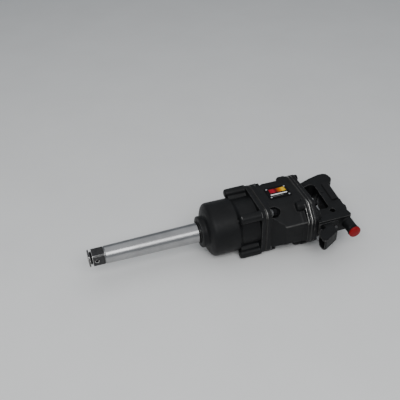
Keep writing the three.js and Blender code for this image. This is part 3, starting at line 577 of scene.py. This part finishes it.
def plate_print(name):
    """Black plate with a block that runs from red to yellow, and a white and a grey bar under it."""
    n = Nodes(name)
    x, y, _ = n.add("ShaderNodeSeparateXYZ", {"Vector": n.here}).outputs
    along = n.math("MULTIPLY_ADD", x, 1000.0, -1000.0 * ORIGIN.x)  # the tool's own millimetres
    up = n.math("MULTIPLY_ADD", y, 1000.0, -1000.0 * ORIGIN.y)

    def inside(value, low, high):
        over = n.math("GREATER_THAN", value, low)
        return n.math("MULTIPLY", over, n.math("LESS_THAN", value, high))

    def area(x0, x1, y0, y1):
        return n.math("MULTIPLY", inside(along, x0, x1), inside(up, y0, y1))

    start, length = 366.0, 36.0
    across = n.math("MULTIPLY_ADD", along, 1 / length, -start / length)
    colors = [
        (0.0, (0.26, 0.003, 0.010)),
        (0.26, (0.42, 0.012, 0.030)),
        (0.40, (0.10, 0.004, 0.006)),
        (0.50, (0.30, 0.040, 0.006)),
        (0.66, (0.50, 0.17, 0.004)),
        (0.80, (0.80, 0.50, 0.03)),
        (1.0, (0.42, 0.24, 0.006)),
    ]
    band = n.ramp(across, colors)
    base = n.ramp(n.noise(90.0, 5.0), [(0.3, (0.004, 0.004, 0.0045)), (0.7, (0.008, 0.008, 0.0085))])
    worn = n.ramp(n.noise(240.0, 8.0, 0.7), [(0.68, 0.0), (0.74, 1.0)])
    ink = n.mix(area(367, 400.5, 1.5, 13.6), base, band)
    ink = n.mix(area(365.5, 399.5, -5.4, -2.4), ink, (0.95, 0.95, 0.93))
    ink = n.mix(area(368, 390, -9.6, -8.6), ink, (0.22, 0.22, 0.22))
    n.set(Base_Color=n.mix(n.math("MULTIPLY", worn, 0.3), ink, (0.3, 0.3, 0.3)))
    n.set(Roughness=n.mix(worn, 0.45, 0.6, "FLOAT"), Specular_IOR_Level=0.08)
    n.bump((n.noise(800.0, 3.0), 0.00005, 0.1))
    return n.mat


PAINT = painted("black_paint")
# These two carry painted highlights on their upper corners and along the housing's slope-to-belly line.
CASE_PAINT = painted("case_paint", low=0.46, high=0.74, bright=0.55, corners=True)
FLANGE_PAINT = painted("flange_paint", low=0.34, high=0.60, bright=0.62, corners=True)
GROUND = steel("ground_steel", (0.42, 0.42, 0.425), 0.24, 0.25)
DARK = steel("dark_steel", (0.022, 0.022, 0.0235), 0.44, 0.15)
WASHER = steel("washer_steel", (0.13, 0.13, 0.133), 0.38, 0.15, EVEN_MARKS, 0.3)
ZINC = steel("zinc_steel", (0.56, 0.565, 0.575), 0.30, 0.15, EVEN_MARKS, 0.3)
PHOSPHATE = phosphate("phosphate")
RUBBER = rubber("rubber")
RED = plastic("red_plastic", (0.27, 0.0028, 0.006))
GASKET = plain("gasket", (0.020, 0.019, 0.017), 0.85, 0.0)
IRON = plain("cast_iron", (0.17, 0.17, 0.18), 0.5, 0.85)
BRONZE = plain("bronze", (0.47, 0.31, 0.12), 0.42, 0.9)
PHENOLIC = plain("vane", (0.15, 0.075, 0.03), 0.6, 0.0)
PLATE = plate_print("name_plate")


def piece(obj, material, slot, *nodes, body="tool"):
    """Gives a piece its material, its body, and the CAD nodes that it replaces; the slot is not used."""
    obj.data.materials.clear()
    obj.data.materials.append(material)
    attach(obj, body)
    if nodes:
        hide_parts(*nodes)


# ------------------------------------------------------------------ drive end


def drive_block(x0, x1, lead):
    """The square drive between two stations, its corners turned round, with a lead-in at x0."""
    block = new_object(prism(square(DRIVE_HALF, 0.4, 2), "X", x0, x1), "drive_block")
    r = DRIVE_CORNER_R
    turned = [(x0, 0), (x0, r - lead), (x0 + lead, r), (x1, r), (x1, 0)]
    return taken(boolean(block, revolve(turned, segs=128), "INTERSECT"))


def anvil_drive():
    """Two lengths of the square, with the ring's groove between them and the socket pin's hole."""
    neck = bar("X", 2.0, 9.0, 10.4)
    parts = [drive_block(0, 3.4, 1.2), neck, drive_block(7.4, 30.6, 0.5)]
    hole = bar("Y", -20, 20, 3.2, (15.5, 0, 0), 32)
    return cast("anvil_drive", parts, [hole], size=0.36, soften=5, sharp=0.11)


def anvil_shaft():
    """The long shaft, its thrust collar and its pilot, behind the square drive."""
    profile = rounded(
        [
            (30.9, 0), (30.9, 16.2, 0.3), (33.0, 17.25, 0.8), (213.4, 19.5, 1.2), (215.6, 18.2, 0.5),
            (216.6, 18.0, 0.5), (249.3, 18.0), (249.3, 23.5), (253.3, 23.5), (253.3, 15),
            (313, 15), (313, 9.9), (319, 9.9), (319.4, 8.9), (319.4, 0),
        ],
        5,
        closed=False,
    )
    return lathed("anvil_shaft", profile, segs=128, angle=35)


def anvil_lug(name, x0, x1, side):
    """A lug that a hammer strikes, on one side of the shaft."""
    top, root, half = 18.6, 14, math.radians(16)
    arc = [
        (top * math.sin(half * t / 4), side * top * math.cos(half * t / 4))
        for t in range(-4, 5)
    ]
    foot = [(root * math.sin(half), side * root), (-root * math.sin(half), side * root)]
    return machined(name, prism(arc + foot, "X", x0, x1))


def build_drive():
    """The anvil, in four pieces for its two finishes, and the ring in its groove."""
    piece(anvil_drive(), PHOSPHATE, "ground_steel", "anvil", body="anvil")
    piece(anvil_shaft(), GROUND, "ground_steel", body="anvil")
    piece(anvil_lug("anvil_lug_front", 266, 284, 1), GROUND, "ground_steel", body="anvil")
    piece(anvil_lug("anvil_lug_rear", 292, 310, -1), GROUND, "ground_steel", body="anvil")
    ring = rounded([(4.1, 10.8, 0.6), (6.7, 10.8, 0.6), (6.7, 12.4, 1.0), (4.1, 12.4, 1.0)])
    gap = brick(0, 10, -20, 0, -1.6, 1.6)
    split = machined("socket_retaining_ring", revolve(ring), [gap], bevel=0)
    piece(split, DARK, "dark_steel", "socket_retaining_ring", body="anvil")


# ------------------------------------------------------------------ hammer case


def bolt_bores(x0, x1):
    """Drills for the four bolts at the corners."""
    return [bar("X", x0, x1, BOLT_BORE_R, (0, y, z), 24) for y, z in CORNERS]


def hammer_case():
    """The round case on its square flange, with a pillar and a web for each bolt."""
    shell = revolve(
        rounded(
            [
                (217, 0), (217, 31, 1.6), (227.5, 31, 2.5), (230.5, 42.5, 6), (236, 53, 9),
                (284.5, 53, 3), (292.5, 47, 5), (CASE_END, 47), (CASE_END, 0),
            ],
            10,
            closed=False,
        ),
        segs=144,
    )
    rim = [(280, 0), (280, 52), (281, 53.0, 0.5), (286, 53.0, 0.7), (287, 49), (287, 0)]
    flange = prism(square(FLANGE_HALF, FLANGE_CORNER_R), "X", 328, CASE_END)
    parts = [shell, revolve(rounded(rim, 4, False)), flange]
    for y, z in CORNERS:
        pillar = [(285.6, 0), (285.6, 6, 2.5), (288, 9.0, 3), (329, PILLAR_R), (329, 0)]
        pillar = rounded(pillar, 5, False)
        parts.append(revolve(pillar, "X", (0, y, z), 40))
        web = prism(rounded([(38, 6.5, 2), (38, -6.5, 2), (56, -6.5, 2), (56, 6.5, 2)]), "X", 290, 329)
        parts.append(moved(web, turn=math.atan2(z, y)))
    hollow = [
        (210, 0), (210, 22.3), (246.7, 22.3), (246.7, 25), (254, 25), (255.5, 44), (333, 44),
        (333, CASE_BORE_R), (345, CASE_BORE_R), (345, 0),
    ]
    cuts = [revolve(hollow, segs=96), *bolt_bores(306, 342)]
    return cast("hammer_case", parts, cuts, size=0.9, soften=5)


def spring_washer(name, y, z):
    """A split ring, with its split towards +Y."""
    ring = rounded([(348.4, 3.6, 0.3), (351.8, 3.6, 0.3), (351.8, 6.9, 0.5), (348.4, 6.9, 0.5)], 3)
    split = moved(brick(345, 355, 1, 9, -0.7, 0.7), 0, y, z)
    return machined(name, moved(revolve(ring, segs=64), 0, y, z), [split], bevel=0)


def hex_bolt(name, x0, x1, y, z, head, collar, turn):
    """Hexagon head with a washer face, chamfered crown and plain shank, along X.

    The shank runs from x0 to x1, head is the head's height and collar the washer face's radius.
    """
    top = x1 + head
    hexa = new_object(moved(prism(hexagon(BOLT_HEX), "X", x1, top), turn=turn), "hexa")
    crown = rounded([(x1 - 1, 0), (x1 - 1, 8), (top - 1.6, 7.2), (top, 5.6, 0.4), (top, 0)], 3, False)
    boolean(hexa, revolve(crown, segs=64), "INTERSECT")
    dish = revolve([(top - 0.6, 0), (top - 0.6, 3.2), (top + 1, 4.4), (top + 1, 0)], segs=48)
    boolean(hexa, dish)
    face = rounded([(x1, 0), (x1, collar, 0.3), (x1 + 1.2, collar, 0.5), (x1 + 1.5, 0)], 4, False)
    adds = [moved(revolve(face, segs=64), 0, y, z), bar("X", x0, x1 + 0.6, BOLT_R, (0, y, z), 32)]
    return machined(name, moved(taken(hexa), 0, y, z), (), adds, bevel=0.25)


def nose_seal():
    """A ring with a groove in its front face."""
    ring = rounded(
        [
            (217.4, 18.4, 0.2), (222.1, 18.4), (222.1, 22), (217.4, 22, 0.3), (218.5, 20.4, 0.6),
            (218.5, 19.4, 0.4),
        ]
    )
    return lathed("nose_seal", ring, angle=30)


def build_front():
    """The hammer case, its seal and gasket, and the bolts that hold it to the housing."""
    piece(hammer_case(), CASE_PAINT, "black_paint", "hammer_case")
    piece(nose_seal(), RUBBER, "rubber", "nose_seal")
    low, high = CASE_END + GASKET_GAP, HOUSING_X[0] - GASKET_GAP
    sheet = prism(square(FLANGE_HALF - 0.5, FLANGE_CORNER_R - 0.5), "X", low, high)
    bore = bar("X", 335, 340, CASE_BORE_R, segs=96)
    gasket = machined("hammer_case_gasket", sheet, [bore], bevel=0)
    piece(gasket, GASKET, "gasket", "hammer_case_gasket")
    for i, (y, z) in enumerate(CORNERS, 1):
        name = f"hammer_case_bolt_{i}"
        bolt = hex_bolt(name, 308, 352.2, y, z, head=7.2, collar=7.2, turn=0.35 * i)
        piece(bolt, DARK, "dark_steel", name)
        name = f"hammer_case_washer_{i}"
        piece(spring_washer(name, y, z), WASHER, "zinc_steel", name)


# ------------------------------------------------------------------ motor housing


def rear_outline(inset=0.0):
    """The rear flange: square at the top, cut back towards the belly."""
    top, side, low = 54 - inset, FLANGE_HALF - inset, -74 + inset
    return rounded(
        [
            (top, side, 15), (-49, side, 8), (low, 26, 9), (low, -26, 9), (-49, -side, 8),
            (top, -side, 15),
        ],
        8,
    )


def trunk_outline(grow=0.0):
    """The housing between its flanges: flat sides that roll over into the belly."""
    g = grow
    return rounded(
        [
            (50 + g, 41, 6), (38, 52 + g, 8), (-31, 52 + g, 30), (-70 - g, 22, 3), (-70 - g, -22, 3),
            (-31, -52 - g, 30), (38, -52 - g, 8), (50 + g, -41, 6),
        ],
        10,
    )


def motor_housing():
    """The housing and its two flanges, with scoops for the front bolts' heads."""
    trunk = new_object(prism(trunk_outline(), "X", 347, 416), "trunk")
    step = prism(trunk_outline(0.7), "X", 406.5, 416)
    boolean(trunk, step, "UNION")
    belly_slope = [(335, -39), (346, -48.3), (373, -71), (373, -95), (335, -95)]
    boolean(trunk, prism(belly_slope, "Z", -80, 80))
    for y, z in CORNERS:
        scoop = [(340, 0), (340, 10.5), (360, 10.5, 4), (367, 5, 3), (369.5, 0)]
        boolean(trunk, revolve(rounded(scoop, 5, False), "X", (0, y, z), 48))
    front, rear = HOUSING_X
    front_flange = prism(square(FLANGE_HALF, FLANGE_CORNER_R), "X", front, 348)
    parts = [taken(trunk), front_flange, prism(rear_outline(), "X", rear - 6, rear)]
    for y, z in CORNERS:
        boss = rounded([(400, 0), (400, 7, 3), (403, 9.4, 3), (416, PILLAR_R), (416, 0)], 5, False)
        parts.append(revolve(boss, "X", (0, y, z), 40))
    cuts = [bar("X", 325, 412, MOTOR_BORE_R, segs=96), bar("X", 405, 430, 16)]
    cuts += bolt_bores(325, 352) + bolt_bores(403, 425)
    return cast("motor_housing", parts, cuts, size=0.8, soften=4)


def build_plate():
    """The name plate and its four rivets."""
    z = PLATE_Z
    sheet = rounded([(359.5, -15.5, 2.5), (405.5, -15.5, 2.5), (405.5, 19.5, 2.5), (359.5, 19.5, 2.5)])
    plate = machined("name_plate", prism(sheet, "Z", z, z + 0.8), bevel=0.2)
    piece(plate, PLATE, "plate", "name_plate")
    rivet = rounded(
        [
            (z - 4, 0), (z - 4, 1.2), (z + 0.9, 1.2), (z + 0.9, 2.3, 0.2), (z + 1.5, 1.9, 0.6),
            (z + 1.94, 0),
        ],
        5,
        False,
    )
    for i, (x, y) in enumerate(PLATE_RIVETS, 1):
        name = f"name_plate_rivet_{i}"
        piece(lathed(name, rivet, "Z", (x, y, 0), 32), ZINC, "zinc_steel", name)


def build_motor():
    """The motor housing with its name plate, and the gasket and valve plate behind it."""
    piece(motor_housing(), CASE_PAINT, "black_paint", "motor_housing")
    build_plate()
    low, high = HOUSING_X[1] + GASKET_GAP, VALVE_PLATE_X[0] - GASKET_GAP
    sheet = prism(rear_outline(0.8), "X", low, high)
    gasket = machined("rear_gasket", sheet, [bar("X", 420, 423, 34)], bevel=0)
    piece(gasket, GASKET, "gasket", "rear_gasket")
    plate = cast("valve_plate", [prism(rear_outline(), "X", *VALVE_PLATE_X)], size=0.7, soften=4)
    piece(plate, FLANGE_PAINT, "black_paint", "valve_plate")


# ------------------------------------------------------------------ handle


def d_loop():
    """The D of the handle, seen from the name plate's side, with its window and the grip's recess."""
    side = rounded(
        [
            (438, 48), (452, 52, 20), (482, 63.5, 34), (508, 70.4, 16), (526, 69.6, 13),
            (529.1, 48, 14), (516.6, 32, 16), (511.6, -20, 60), (507.6, -56, 20), (510.6, -73.6, 7),
            (438, -73.6),
        ],
        8,
    )
    hole = rounded(
        [(444, 35, 9), (484, 46, 9), (481, 0), (478, -38, 9), (444, -38, 9)],
        8,
    )
    ring = new_object(prism(side, "Z", -17, 17), "ring")
    boolean(ring, prism(hole, "Z", -20, 20))
    recess = [(514.7, 36.4), (560, 36.4), (560, -19.4), (510.3, -19.4)]
    boolean(ring, prism(recess, "Z", -20, 20))
    return taken(bevelled(ring, 6.5, 6, 50))


def handle_casting():
    """Flange, head, D loop, inlet boss and throttle boss in one casting."""
    head = rounded([(45, 33, 14), (-67, 33, 14), (-67, -33, 14), (45, -33, 14)], 8)
    inlet = [(-97, 0), (-97, 11, 1.2), (-84, 11), (-73, 11.8, 4), (-60, 11), (-60, 0)]
    parts = [
        d_loop(),
        prism(head, "X", 430, 445.5),
        prism(rear_outline(), "X", *HANDLE_X),
        revolve(rounded(inlet, 5, False), "Y", (INLET_X, 0, 0), 72),
        bar("X", 500, 511, 11.5, (0, VALVE_Y, 0)),
    ]
    slot = rounded(
        [
            (465, -51), (487.4, -51, 2), (485.8, -34), (487, -4, 6), (495.5, 6, 2), (495.5, 20.5, 2),
            (465, 20.5),
        ],
        4,
    )
    cuts = [
        prism(slot, "Z", -9, 9),
        bar("Z", -22, 22, 5.5, (480, -47.5, 0), 48),
        bar("X", 497, 513, 8.3, (0, VALVE_Y, 0)),
        bar("X", 511, 530, 10.4, (0, VALVE_Y, 0)),
        bar("Y", -99, -70, 8, (INLET_X, 0, 0)),
        bar("X", 420, 455, 10.3, (0, REVERSE_Y, 0)),
        bar("Z", -20, 20, PIN_BORE_R, (*PIN, 0), 24),
    ]
    return cast("handle", parts, cuts + bolt_bores(425, 440), size=0.8, soften=4)


def grip_sleeve():
    """Rubber round the back and sides of the grip, with a fine row of grooves across its back."""
    half = GRIP_HALF
    section = [(514.3, half, 11), (494.8, half, 2.5), (494.8, -half, 2.5), (514.3, -half, 11)]
    sleeve = new_object(leaned(prism(rounded(section, 8), "Y", -19.0, 36.0)), "sleeve")
    floor = half - 0.5  # the grooves are 0.5 deep
    groove = rounded(
        [
            (525, 30), (504, 30), (504, floor), (513.7, floor, 10), (513.7, -floor, 10),
            (504, -floor), (504, -30), (525, -30),
        ],
        6,
    )
    for k in range(9):
        y = -13.0 + k * 5.2
        boolean(sleeve, leaned(prism(groove, "Y", y, y + 1.2)))
    core = rounded([(512.1, 17.4, 6), (480, 17.4), (480, -17.4), (512.1, -17.4, 6)], 6)
    boolean(sleeve, leaned(prism(core, "Y", -30, 60)))
    return cast("grip_sleeve", [taken(sleeve)], size=0.45, soften=3)


def trigger():
    """A lever on its pin, with its finger face towards the motor."""
    lever = rounded(
        [
            (482.5, 18, 3), (491.5, 18, 3), (493, 9, 3), (483, -2, 8), (478.5, -34, 12),
            (478.2, -46.5, 2), (472, -47.5, 2), (472.6, -34, 14), (474.5, 0, 14),
        ],
        6,
    )
    hole = bar("Z", -20, 20, PIN_BORE_R, (*PIN, 0))
    return machined("trigger", prism(lever, "Z", -8.4, 8.4), [hole], bevel=1.2, angle=50)


def coil(x0, x1, radius, turns, wire):
    """Wire of radius wire, coiled about the valve's axis from x0 to x1."""
    bm = bmesh.new()
    steps, sides = 24 * turns, 10
    along = Vector((1, 0, 0))
    rings = []
    for i in range(steps + 1):
        angle = math.tau * i * turns / steps
        out = Vector((0, math.cos(angle), math.sin(angle)))
        centre = Vector((x0 + (x1 - x0) * i / steps, VALVE_Y, 0)) + out * radius
        ring = []
        for k in range(sides):
            turn = math.tau * k / sides
            point = centre + out * (wire * math.cos(turn)) + along * (wire * math.sin(turn))
            ring.append(bm.verts.new(point))
        rings.append(ring)
    for a, b in zip(rings, rings[1:]):
        for k in range(sides):
            j = (k + 1) % sides
            bm.faces.new((a[k], a[j], b[j], b[k]))
    bm.faces.new(rings[0])
    bm.faces.new(rings[-1][::-1])
    bmesh.ops.recalc_face_normals(bm, faces=bm.faces)
    return bm


def build_spring():
    """The throttle spring, which shortens against the cap as the trigger is pulled."""
    spring = settle(new_object(coil(501.8, 513.6, 4.2, 5, 0.58), "throttle_spring"), 40)
    piece(spring, ZINC, "zinc_steel", "throttle_spring")
    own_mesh(spring)


def throttle_cap():
    """A round cap with a slot for a wide blade."""
    cap = rounded(
        [
            (508, 5.8), (514.8, 5.8), (514.8, 0.01), (517.6, 0.01), (517.6, 6.5, 1), (516.6, 9.8, 1),
            (511.4, 9.8, 0.4), (511.4, 8), (508, 8),
        ],
        4,
    )
    slot = brick(516.2, 520, VALVE_Y - 12, VALVE_Y + 12, -1, 1)
    return machined("throttle_cap", revolve(cap, "X", (0, VALVE_Y, 0), 72), [slot], bevel=0)


def inlet_bushing():
    """A hexagon on a plain shank, bored through."""
    nut = moved(prism(hexagon(21, math.pi / 6), "Y", -102.0, -97.0), INLET_X)
    thread = bar("Y", -98, -82, 7.6, (INLET_X, 0, 0))
    bore = bar("Y", -104, -81, 5.0, (INLET_X, 0, 0))
    return machined("inlet_bushing", nut, [bore], [thread], bevel=0.6)


def dust_plug():
    """A stem and a disc whose face is a shallow dome."""
    rim, edge, crown = 12.1, -104, 3.85
    plug = [(-90, 0), (-90, 4.6, 0.5), (-102.35, 4.6), (-102.35, rim, 0.5), (edge, rim)]
    plug = rounded(plug, 6, False)
    steps = 24
    for i in range(1, steps + 1):
        turn = math.pi / 2 * i / steps
        plug.append((edge - crown * math.sin(turn), rim * math.cos(turn)))
    return lathed("dust_plug", plug, "Y", (INLET_X, 0, 0), angle=60)


def reverse_valve():
    """A spool with a thin stem for its lever."""
    spool = [(425.4, 0), (425.4, 10, 0.5), (445.3, 10, 0.8), (445.3, 4.5), (452.8, 4.5, 0.6), (452.8, 0)]
    return lathed("reverse_valve", rounded(spool, 4, False), "X", (0, REVERSE_Y, 0), 64)


def reverse_lever():
    """A two-armed lever on the valve's stem."""
    y = REVERSE_Y
    arms = rounded(
        [
            (y + 9.6, 9, 8), (y + 4.6, 30.6, 4.4), (y - 4.6, 30.6, 4.4), (y - 9.6, 9, 8),
            (y - 9.6, -9, 8), (y - 4.6, -30.6, 4.4), (y + 4.6, -30.6, 4.4), (y + 9.6, -9, 8),
        ],
        6,
    )
    hole = bar("X", 444, 455, 4.8, (0, y, 0))
    return machined("reverse_lever", prism(arms, "X", 446.2, 452.4), [hole], bevel=1.4, angle=50)


def build_handle():
    """The handle with its bolts, grip, trigger, inlet and reverse lever."""
    piece(handle_casting(), PAINT, "black_paint", "handle")
    piece(grip_sleeve(), RUBBER, "rubber", "grip_sleeve")
    for i, (y, z) in enumerate(CORNERS, 1):
        name = f"handle_bolt_{i}"
        bolt = hex_bolt(name, 404.5, 436.3, y, z, head=7.6, collar=7.4, turn=0.2 + 0.4 * i)
        piece(bolt, DARK, "dark_steel", name)
    piece(trigger(), DARK, "dark_steel", "trigger", body="trigger")
    pin = rounded([(-16.7, 0), (-16.7, 2.5, 0.5), (16.7, 2.5, 0.5), (16.7, 0)], 4, False)
    piece(lathed("trigger_pin", pin, "Z", (*PIN, 0), 40), DARK, "dark_steel", "trigger_pin")
    piece(throttle_cap(), DARK, "dark_steel", "throttle_cap")
    piece(inlet_bushing(), DARK, "dark_steel", "inlet_bushing")
    piece(dust_plug(), RED, "red_plastic", "dust_plug", body="dust_plug")
    piece(reverse_valve(), DARK, "dark_steel", "reverse_valve", body="reverse_valve")
    piece(reverse_lever(), DARK, "dark_steel", "reverse_lever", body="reverse_valve")


# ------------------------------------------------------------------ exhaust


def exhaust_deflector():
    """A hollow hood that turns the exhaust forward and down, on a plate with two screw holes."""
    plate = rounded([(438, 15, 3), (477, 15, 3), (477, -15, 3), (438, -15, 3)])
    hood = rounded(
        [
            (447, -76), (463.5, -76), (463, -101.2, 3.5), (424.1, -123.3, 5.5), (424.1, -105, 3),
            (429.8, -91.1, 3), (447, -84.7, 3),
        ]
    )
    duct = rounded(
        [
            (450, -73), (461, -73), (460.4, -99.5, 3), (418, -123.5), (418, -98.6),
            (450, -86.8, 3),
        ]
    )
    parts = [prism(plate, "Y", -77.6, -74.4), prism(hood, "Z", -11.4, 11.4)]
    cuts = [prism(duct, "Z", -8.8, 8.8)]
    cuts += [bar("Y", -85, -70, 2.2, (x, 0, 0), 24) for x in DEFLECTOR_SCREWS_X]
    return cast("exhaust_deflector", parts, cuts, size=0.5, soften=2)


def deflector_screw(name, x):
    """A pan-head screw with a cross recess."""
    shape = rounded(
        [
            (-66, 0), (-66, 1.6), (-66.4, 1.9), (-77.9, 1.9), (-77.9, 3.7, 0.2), (-79.2, 3.5, 0.8),
            (-80.5, 0),
        ],
        4,
        False,
    )
    cross = [
        brick(x - 5, x + 5, -82, -79.6, -0.4, 0.4),
        brick(x - 0.4, x + 0.4, -82, -79.6, -5, 5),
    ]
    return machined(name, revolve(shape, "Y", (x, 0, 0), 40), cross, bevel=0)


def build_exhaust():
    """The deflector under the handle's head, and its two screws."""
    piece(exhaust_deflector(), PAINT, "black_paint", "exhaust_deflector")
    for i, x in enumerate(DEFLECTOR_SCREWS_X, 1):
        name = f"deflector_screw_{i}"
        piece(deflector_screw(name, x), WASHER, "zinc_steel", name)


# ------------------------------------------------------------------ inner pieces

# CAD nodes that stay as they are, with their materials.
INNER = {
    "anvil_bushing": BRONZE,
    "anvil_thrust_washer": BRONZE,
    "hammer_frame": DARK,
    "front_hammer": IRON,
    "rear_hammer": IRON,
    "hammer_pin_upper": GROUND,
    "hammer_pin_lower": GROUND,
    "front_end_plate": IRON,
    "front_bearing": GROUND,
    "cylinder": IRON,
    "rotor": DARK,
    "rear_end_plate": IRON,
    "rear_bearing": GROUND,
    "throttle_valve": BRONZE,
    "inlet_screen": ZINC,
    **{f"rotor_vane_{i}": PHENOLIC for i in range(1, 7)},
}


def dress_inner():
    """Gives the inner CAD nodes their materials."""
    for name, material in INNER.items():
        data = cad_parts[name].data
        data.materials.clear()
        data.materials.append(material)


# ------------------------------------------------------------------ room, light and camera


def lay_floor():
    """A plain pale floor, four metres out each way."""
    bm = bmesh.new()
    bmesh.ops.create_grid(bm, x_segments=1, y_segments=1, size=4)
    obj = new_object(bm, "floor")
    n = Nodes("floor")
    n.set(Base_Color=n.ramp(n.noise(6.0, 3.0), [(0.3, (0.80, 0.80, 0.79)), (0.7, (0.83, 0.83, 0.82))]))
    n.set(Roughness=0.6)
    obj.data.materials.append(n.mat)


def area_light(name, at, target, size, size_y, power):
    """A soft lamp that faces its target."""
    data = bpy.data.lights.new(name, "AREA")
    data.shape = "RECTANGLE"
    data.size = size
    data.size_y = size_y
    data.energy = power
    obj = bpy.data.objects.new(name, data)
    obj.location = at
    obj.rotation_euler = (Vector(target) - Vector(at)).to_track_quat("-Z", "Y").to_euler()
    bpy.context.scene.collection.objects.link(obj)


def light_room():
    """A dim cool room, a long soft key from the front, a wide ceiling light and a small side light."""
    world = bpy.data.worlds.new("room")
    world.use_nodes = True
    background = world.node_tree.nodes["Background"]
    background.inputs["Color"].default_value = (0.80, 0.86, 0.93, 1)
    background.inputs["Strength"].default_value = 0.30
    bpy.context.scene.world = world
    area_light("key", (-0.25, -1.08, 1.34), (0, 0, 0.04), 1.7, 0.8, 19)
    area_light("ceiling", (0.1, 0.5, 1.6), (0, 0.1, 0), 3.0, 2.0, 10)
    area_light("left", (-1.5, -0.1, 0.8), (0, 0, 0), 0.6, 0.6, 3)


# The camera that sees the tool as the photograph does, in metres from the tip of the drive.
CAMERA_AT = Vector((-0.035, -0.835, 0.761))
CAMERA_LOOKS = Vector((0.232, 0.753, -0.616))
CAMERA_RIGHT = Vector((0.948, -0.316, -0.029))


def place_camera():
    """Sets the camera. Its right side is CAMERA_RIGHT, squared to where it looks."""
    data = bpy.data.cameras.new("camera")
    data.sensor_width = 36.0
    data.lens = 53.46
    obj = bpy.data.objects.new("camera", data)
    right = CAMERA_RIGHT.normalized()
    back = -CAMERA_LOOKS.normalized()
    up = back.cross(right).normalized()
    right = up.cross(back).normalized()
    turn = Matrix((right, up, back)).transposed().to_4x4()
    obj.matrix_world = Matrix.Translation(ORIGIN + CAMERA_AT) @ turn
    bpy.context.scene.collection.objects.link(obj)
    bpy.context.scene.camera = obj


build_drive()
build_front()
build_motor()
build_handle()
build_spring()
build_exhaust()
dress_inner()
lay_floor()
light_room()
place_camera()
